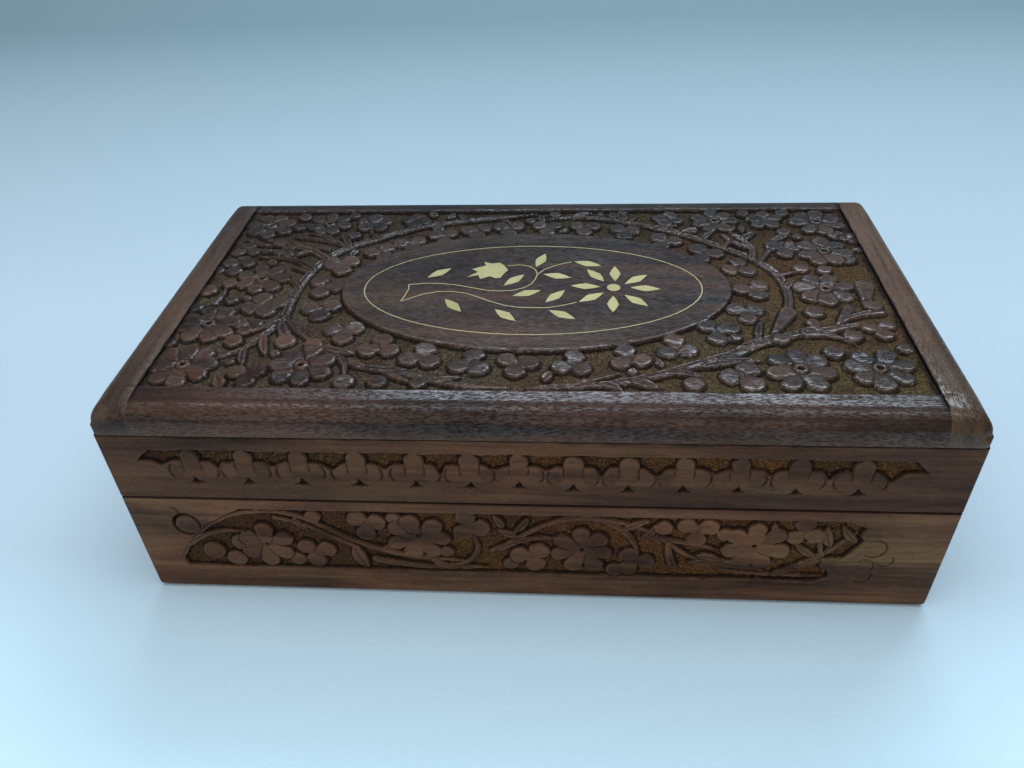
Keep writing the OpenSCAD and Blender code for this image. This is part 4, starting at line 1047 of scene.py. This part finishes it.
def draw_clovers(r, places, left, right):
    """The row of clovers on a lid wall, almost flush, with a punched strip behind their heads."""
    low, high = LID_Z + 14.6, LID_Z + 18.7
    rng = r.rng
    wave = 0.35 * r.noise(9.0) + 0.26 * r.noise(2.0)
    dip = np.zeros_like(r.u)
    middles = [(a + b) / 2 for a, b in zip(places, places[1:])]
    for x in [places[0] - 8, *middles, places[-1] + 8]:
        x += rng.normal(0, 0.5)
        dip = np.maximum(dip, rng.uniform(1.5, 3.7) * np.exp(-((r.u - x) / rng.uniform(1.0, 2.4)) ** 2))
    fade = np.minimum(r.u - left - 0.9 * (r.v - low), right - r.u - 0.9 * (r.v - low)) * 0.6
    r.sink(np.minimum(np.minimum(r.v - low + dip, high - r.v), fade) + wave, 1.2, 0.17)
    for x in places:
        x = x + rng.normal(0, 0.3)
        z = LID_Z + rng.normal(0, 0.15)
        # The side petals, hollowed a little and cut round with a knife
        for side in (-1, 1):
            cx, cz = x + side * (5.0 + rng.normal(0, 0.2)), z + 11.0
            w, px, py = r.around(cx, cz, 3.6)
            oval = np.clip(1 - (px / 2.3) ** 2 - (py / 2.9) ** 2, 0, 1)
            r.h[w] -= 0.16 * oval
            r.tone[w] += (rng.uniform(0.1, 1.0) - r.tone[w]) * smooth(oval * 3)
            neck = [(x + side * 2.5, z + 14.6), (x + side * 2.75, z + 13.0),
                    (x + side * 2.5, z + 10.6 + rng.uniform(0, 1.4))]
            r.knife(neck, 0.9, 0.6)
            turn = np.radians(np.linspace(-70, 75 + rng.uniform(-15, 15), 6))
            r.knife_arc(cx, cz, side * 2.2, 2.9, turn, 1.1, 0.8)
        # The head, the bridge below it and the star cut at its foot, darkened with painted shade
        r.disc(x, z + 16.0, 2.7 + rng.normal(0, 0.12), top=-0.02, stretch=1.12, turn=90)
        w, px, py = r.around(x, z + 13.0, 2.6)
        bridge = 2.3 + 0.12 * py - np.abs(px)
        r.lift(w, np.minimum(bridge, 1.2 - np.abs(py)), -0.02, 0.0)
        star(r, x, z + 6.9, 3.0 + rng.normal(0, 0.15))
    r.trim(smooth((r.v - (LID_Z + 3)) / 1.0) * smooth((high + 0.5 - r.v) / 0.5))


# Boards

TOP_T = TOP_Z - BOARD_Z
TOP_END = ROUND, 9       # the top's round and the grid lines on it
JOINT_END = SHARP, 3     # the same at a joint

wood_top = wood("sheesham_top", (0.13, 0.02, 0.3), gloss=0.42, coat=0.78, shine=0.1, back=0.48)
wood_strip_l = wood("sheesham_strip_left", (0.7, 0.4, 0.1), gloss=0.46, coat=0.4, shine=0.15,
                    mid=srgb(80, 60, 50), warm=srgb(100, 76, 60), grain="Y")
wood_strip_r = wood("sheesham_strip_right", (0.2, 0.9, 0.5), gloss=0.46, coat=0.7, shine=0.12,
                    mid=srgb(84, 62, 48), warm=srgb(106, 80, 58), grain="Y")
WALLS = dict(gloss=0.55, coat=0.03, shine=0.1, dark=srgb(52, 34, 27), mid=srgb(97, 69, 52),
             warm=srgb(128, 96, 70),
             ground=(srgb(110, 72, 38), srgb(76, 53, 35), srgb(62, 39, 27), srgb(140, 98, 52)))
wood_front = wood("sheesham_front", (0.31, 0.5, 0.21), **WALLS)
wood_lid_front = wood("sheesham_lid_front", (0.9, 0.1, 0.63),
                      **{**WALLS, "mid": srgb(84, 59, 45), "warm": srgb(112, 81, 58)})
wood_back = wood("sheesham_back", (1.4, 0.7, 0.33), **WALLS)
wood_ends = wood("sheesham_ends", (0.6, 1.3, 0.8), **WALLS, grain="Y")


def make_top():
    half = JOINT_X - GAP
    us = np.concatenate([round_stops(-half, SHARP, 1, 3), np.arange(-half + 0.6, half - 0.6, STEP),
                         round_stops(half, SHARP, -1, 3)[::-1]])
    vs = grid_line((-HALF_D, *TOP_END), (HALF_D, *TOP_END), (1.0, STEP, 1.0),
                   (FIELD_LOW - 1.2, FIELD_HIGH + 1.2))
    r = Relief(us, vs, 11)
    draw_top(r)
    mesh = slab("lid_top_board_carved", "top", r, TOP_T, (SHARP, SHARP, ROUND, ROUND), 0.35, seams=(-1, 1))
    link("lid_top_board_carved", mesh, "lid", "carved_wood", wood_top, "lid_top_board")


def make_strip(side):
    """An end strip: side is -1 at the left and 1 at the right."""
    vs = grid_line((-HALF_D, *TOP_END), (HALF_D, *TOP_END), (STEP, 2.0, STEP), (-51.0, 51.0))
    if side < 0:
        us = grid_line((-HALF_W, *TOP_END), (-JOINT_X - GAP, *JOINT_END), (STEP,))
        radii, name, material = (ROUND, SHARP, ROUND, ROUND), "lid_end_strip_left", wood_strip_l
    else:
        us = grid_line((JOINT_X + GAP, *JOINT_END), (HALF_W, *TOP_END), (STEP,))
        radii, name, material = (SHARP, ROUND, ROUND, ROUND), "lid_end_strip_right", wood_strip_r
    r = Relief(us, vs, 21 + side)
    # The inner edge is worn round, and the joint beside it is dark and ragged.
    inset = np.abs(r.u) - JOINT_X
    r.h -= (0.06 + 0.34 * np.clip(1 - inset / 2.6, 0, 1) ** 1.4) * (1 - seam_shut(r.v))
    r.h -= border_fall(r.v)
    r.soil(smooth((0.75 + 0.3 * r.noise(3.0) - inset) / 0.35) * (1 - seam_shut(r.v)))
    r.knife([(side * (JOINT_X - 1), -53.4), (side * (JOINT_X + 4.2), -53.7)], 0.8, 0.7)
    r.knife([(side * (JOINT_X - 1), 54.0), (side * (JOINT_X + 2.6), 54.2)], 0.7, 0.5)
    mesh = slab(name + "_wood", "top", r, TOP_T, radii, 0.35, CORNER, seams=(-side,))
    link(name + "_wood", mesh, "lid", "end_strip_wood", material, name)


def wall_shape(face, low_round, high_round):
    """Whether a wall is a long one, half its length, and its rounds."""
    long = face in ("front", "back")
    side = WALL_CORNER if long else 0.2
    return long, HALF_W if long else INNER_D - GAP / 2, (side, side, low_round, high_round)


def wall_grid(half, z0, z1, band, ends, radii, margin):
    """Grid lines of a wall: fine over the band, coarse beyond it."""
    left, right, low, high = radii
    us = grid_line((-half, left, 4), (half, right, 4), (2.5, STEP, 2.5), (ends[0] - margin, ends[1] + margin))
    vs = grid_line((z0, low, 5), (z1, high, 4), (1.6, STEP, 1.2), (band[0] - 1, band[1] + 1))
    return us, vs


def base_wall(face, seed, material):
    node = f"base_{face}_wall"
    long, half, radii = wall_shape(face, 2.0, 0.5)
    ends = (-110.5, 106.5) if long else (-INNER_D + 0.8, INNER_D - 0.8)
    r = Relief(*wall_grid(half, 0.0, BASE_H, (10.0, 37.0), ends, radii, 0.5 if long else 0.2), seed)
    draw_band(r, BASE_VINE if long else SIDE_VINE, face in ("back", "right"))
    if face == "front":
        for points in FRONT_CUTS:
            r.knife(points, 0.5, 0.4)
    r.soil(0.9 * smooth((r.v - BASE_H + 0.5) / 0.4))
    mesh = slab(node + "_carved", face, r, WALL_T, radii, 0.3, foot=2.4 if long else 0.0)
    obj = link(node + "_carved", mesh, "base", "carved_wood", material, node)
    low, high = mm_box("base_bottom_panel")
    cutters = [box_prism(low[0] - 0.15, high[0] + 0.15, low[1] - 0.15, high[1] + 0.15, -2, high[2])]
    if face == "back":
        cutters += hinge_cutters(-1)
    boolean(obj, cutters)


def lid_wall(face, seed, material):
    node = f"lid_{face}_wall"
    long, half, radii = wall_shape(face, 0.5, 0.35)
    ends = (-110.0, 107.0) if long else (-INNER_D + 1.0, INNER_D - 1.0)
    band = LID_Z + 4, LID_Z + 19
    r = Relief(*wall_grid(half, LID_Z, BOARD_Z, band, ends, radii, 1.5 if long else 0.5), seed)
    places = {"front": CLOVERS, "back": [-x for x in CLOVERS[::-1]]}.get(face, list(np.linspace(-45, 45, 7)))
    draw_clovers(r, places, *ends)
    r.soil(0.9 * smooth((LID_Z + 0.5 - r.v) / 0.4))
    r.soil(smooth((r.v - BOARD_Z + 0.45) / 0.3 + 0.5 * r.noise(6.0)))
    mesh = slab(node + "_carved", face, r, WALL_T, radii, 0.3)
    obj = link(node + "_carved", mesh, "lid", "carved_wood", material, node)
    if face == "back":
        boolean(obj, hinge_cutters(1))


def hinge_cutters(up):
    """Solids that leave room for the hinges in a back wall, and bevel its edge behind the pin. up is
    1 for the lid and -1 for the base."""
    rise = up * 6 * math.tan(math.radians(53.0))
    bevel = [(PIN_Y, PIN_Z), (PIN_Y + 6, PIN_Z), (PIN_Y + 6, PIN_Z + rise)]
    out = [prism(bevel, -HALF_W - 2, HALF_W + 2)]
    circle = [(PIN_Y + KNUCKLE_ROOM * math.cos(a), PIN_Z + KNUCKLE_ROOM * math.sin(a))
              for a in np.linspace(0, 2 * math.pi, 33)[:-1]]
    for side in ("left", "right"):
        low, high = mm_box(f"hinge_{side}_pin")
        x0, x1 = low[0] - 0.1, high[0] + 0.1
        leaf_low = mm_box(f"hinge_{side}_{'lid' if up > 0 else 'base'}_leaf")[0]
        z0, z1 = sorted((PIN_Z - up * 2.0, PIN_Z + up * 1.1))
        out += [prism(circle, x0, x1), box_prism(x0, x1, leaf_low[1] - 0.05, PIN_Y, z0, z1)]
    return out


make_top()
make_strip(-1)
make_strip(1)
for k, (face, base_wood, lid_wood) in enumerate((
        ("front", wood_front, wood_lid_front), ("back", wood_back, wood_back),
        ("left", wood_ends, wood_ends), ("right", wood_ends, wood_ends))):
    base_wall(face, 31 + k, base_wood)
    lid_wall(face, 51 + k, lid_wood)


# Lining

lining_cloth = velvet("lining_velvet")


def cloth_pad(node, body, up, seed):
    """A piece of velvet pulled over card: flat, with a soft edge and slight puckers. up is the way that
    its face looks."""
    low, high = mm_box(node)
    axis = int(np.argmax(np.abs(up)))
    a, b = (k for k in range(3) if k != axis)
    size = high - low
    thick, out, width, length = size[axis], up[axis], size[a], size[b]
    rng = np.random.default_rng(seed)
    edge = min(0.6 * thick, 0.9)
    us, vs = (grid_line((0, edge, 4), (end, edge, 4), (1.3,)) for end in (width, length))
    u, v = np.meshgrid(us, vs)
    inset = np.minimum(np.minimum(u, width - u), np.minimum(v, length - v))
    swell = 0.1 * lattice_noise(u, v, 15.0, rng) + 0.05 * lattice_noise(u, v, 5.0, rng) - 0.16
    swell += 0.05 * np.sin(u / 1.9 + 2 * lattice_noise(u, v, 9.0, rng)) * np.exp(-inset / 2.5)
    drop = np.minimum(round_drop(u, edge) + round_drop(width - u, edge) + round_drop(v, edge)
                      + round_drop(length - v, edge), edge)
    outer = high[axis] if out > 0 else low[axis]
    face = np.empty(u.shape + (3,))
    face[..., a] = low[a] + u
    face[..., b] = low[b] + v
    face[..., axis] = outer + out * (swell * smooth(inset / edge) - drop)
    if np.cross(np.eye(3)[a], np.eye(3)[b])[axis] * out < 0:
        face = face[:, ::-1]
    back = border_of(face)
    back[:, axis] = outer - out * thick
    mesh = block_mesh(node + "_velvet", face, [back])
    obj = link(node + "_velvet", mesh, body, "velvet", lining_cloth, node)
    return obj, (width * MM, length * MM)


SIDES = {"front": (0, 1, 0), "back": (0, -1, 0), "left": (1, 0, 0), "right": (-1, 0, 0)}
for body, flat_face, up, board in (("base", "floor", (0, 0, 1), "base_bottom_panel"),
                                   ("lid", "top", (0, 0, -1), "lid_top_board_carved")):
    for k, (face, way) in enumerate({flat_face: up, **SIDES}.items()):
        pad, flat = cloth_pad(f"{body}_lining_{face}", body, way, 80 + k)


# Carried-over pieces

inlay_brass = brass("inlay_brass", (srgb(168, 158, 110), srgb(150, 137, 89), srgb(120, 104, 66)),
                    0.5, metal=0.5)
wire_brass = brass("wire_brass", (srgb(162, 152, 110), srgb(150, 136, 92), srgb(106, 90, 58)), 0.5, metal=0.5)
hinge_brass = brass("hinge_brass", (srgb(206, 172, 100), srgb(178, 142, 76), srgb(108, 84, 48)), 0.3, 0.00003)


def dress(node, material, bevel=0.0):
    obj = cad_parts[node]
    obj.data.materials.clear()
    obj.data.materials.append(material)
    if bevel:
        m = obj.modifiers.new("soft_edges", "BEVEL")
        m.width, m.segments, m.limit_method, m.angle_limit = bevel * MM, 2, "ANGLE", math.radians(35)


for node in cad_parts:
    if node in ("inlay_border_wire", "inlay_stem_wires"):
        dress(node, wire_brass)
    elif node.startswith("inlay"):
        dress(node, inlay_brass)
    elif node.startswith("hinge"):
        dress(node, hinge_brass, 0.08)
dress("base_bottom_panel", plywood("plywood"), 0.15)
dress("bottom_panel_nails", steel("nail_steel"), 0.06)


# Floor, backdrop, lights and camera

def plain(name, colour, near, far, rough):
    """The floor's cloth, lighter in front of the box as painted light and darker behind it as painted shade.
    """
    n = Nodes(name)
    weave = n.noise(n.place((900, 900, 900)), 3.0, 0.6)
    tone = n.noise(n.place((2.5, 2.5, 2.5)), 2.0, 0.5)
    shade = n.mix(n.span(tone, 0.35, 0.65), colour, tuple(c * 0.96 for c in colour[:3]) + (1.0,))
    y = n.object_axis(1)
    # Painted shade darkens the backdrop behind the box, and painted light brightens the floor in front of it.
    shade = n.mix(n.span(y, 0.1, 0.6), shade, far)
    shade = n.mix(n.span(y, -0.05, -0.11), shade, near)
    return n.surface(Base_Color=shade, Roughness=rough, Normal=n.bump(weave, 0.00015), Specular_IOR_Level=0.2)


def make_floor():
    """A floor that sweeps up into a backdrop behind the box."""
    start, sweep = 0.55, 0.5
    profile = [(-2.5, 0.0), (start, 0.0)]
    profile += [(start + sweep * math.sin(a), sweep - sweep * math.cos(a))
                for a in np.linspace(0.15, math.pi / 2, 10)]
    profile += [(start + sweep, 2.6)]
    bm = bmesh.new()
    rows = [[bm.verts.new((x, y, z)) for y, z in profile] for x in np.linspace(-3, 3, 9)]
    for a, b in zip(rows, rows[1:]):
        for k in range(len(profile) - 1):
            bm.faces.new((a[k], b[k], b[k + 1], a[k + 1]))
    mesh = bpy.data.meshes.new("floor")
    bm.to_mesh(mesh)
    bm.free()
    mesh.shade_smooth()
    mesh.materials.append(plain("pale_floor", srgb(184, 203, 215), srgb(206, 236, 251),
                                srgb(123, 145, 152), 0.8))
    obj = place_in_scene(bpy.data.objects.new("floor", mesh))


def lamp(name, at, to, size, watts, colour):
    data = bpy.data.lights.new(name, "AREA")
    data.shape, data.size, data.size_y = "RECTANGLE", size[0], size[1]
    data.energy, data.color = watts, colour
    obj = place_in_scene(bpy.data.objects.new(name, data))
    obj.location = at
    obj.rotation_euler = (Vector(to) - Vector(at)).to_track_quat("-Z", "Y").to_euler()


def make_camera():
    """The photograph's view of the box."""
    azimuth, elevation, roll = math.radians(5.346), math.radians(37.854), math.radians(-2.718)
    target, distance = Vector((-0.00847, 0.0, 0.03461)), 0.29123
    back = Vector((math.sin(azimuth) * math.cos(elevation), -math.cos(azimuth) * math.cos(elevation),
                   math.sin(elevation)))
    right = (-back).cross(Vector((0, 0, 1))).normalized()
    up = right.cross(-back)
    turned_right = math.cos(roll) * right + math.sin(roll) * up
    turned_up = -math.sin(roll) * right + math.cos(roll) * up
    data = bpy.data.cameras.new("camera")
    data.sensor_width, data.lens = 36.0, 29.229
    data.clip_start, data.clip_end = 0.01, 20.0
    obj = bpy.data.objects.new("camera", data)
    place = Matrix((turned_right, turned_up, back)).transposed().to_4x4()
    place.translation = target + back * distance
    obj.matrix_world = place
    bpy.context.scene.camera = place_in_scene(obj)


make_floor()
make_camera()
SKYLIGHT, WHITE, WARM_WHITE = (0.72, 0.86, 1.0), (1.0, 1.0, 1.0), (1.0, 0.98, 0.94)
lamp("window", (0.242, 0.902, 1.126), (0.0, 0.0, 0.07), (1.4, 0.34), 15.0, SKYLIGHT)
lamp("window_left", (-0.36, 0.892, 1.07), (0.0, 0.0, 0.07), (0.6, 0.3), 1.2, SKYLIGHT)
lamp("sky", (0.0, -0.1, 1.5), (0.0, 0.0, 0.05), (1.7, 0.35), 6.5, (0.76, 0.89, 1.0))
lamp("overhead", (0.0, -0.25, 1.7), (0.0, 0.0, 0.0), (2.4, 1.4), 12.0, WHITE)
lamp("front_fill", (-0.45, -1.15, 0.7), (0, 0, 0.03), (2.2, 1.1), 8.5, WARM_WHITE)

world = bpy.data.worlds.new("studio")
bpy.context.scene.world = world
world.use_nodes = True
sky = world.node_tree.nodes["Background"]
sky.inputs["Color"].default_value = srgb(222, 232, 240)
sky.inputs["Strength"].default_value = 0.22

bpy.context.scene.view_settings.view_transform = "Standard"
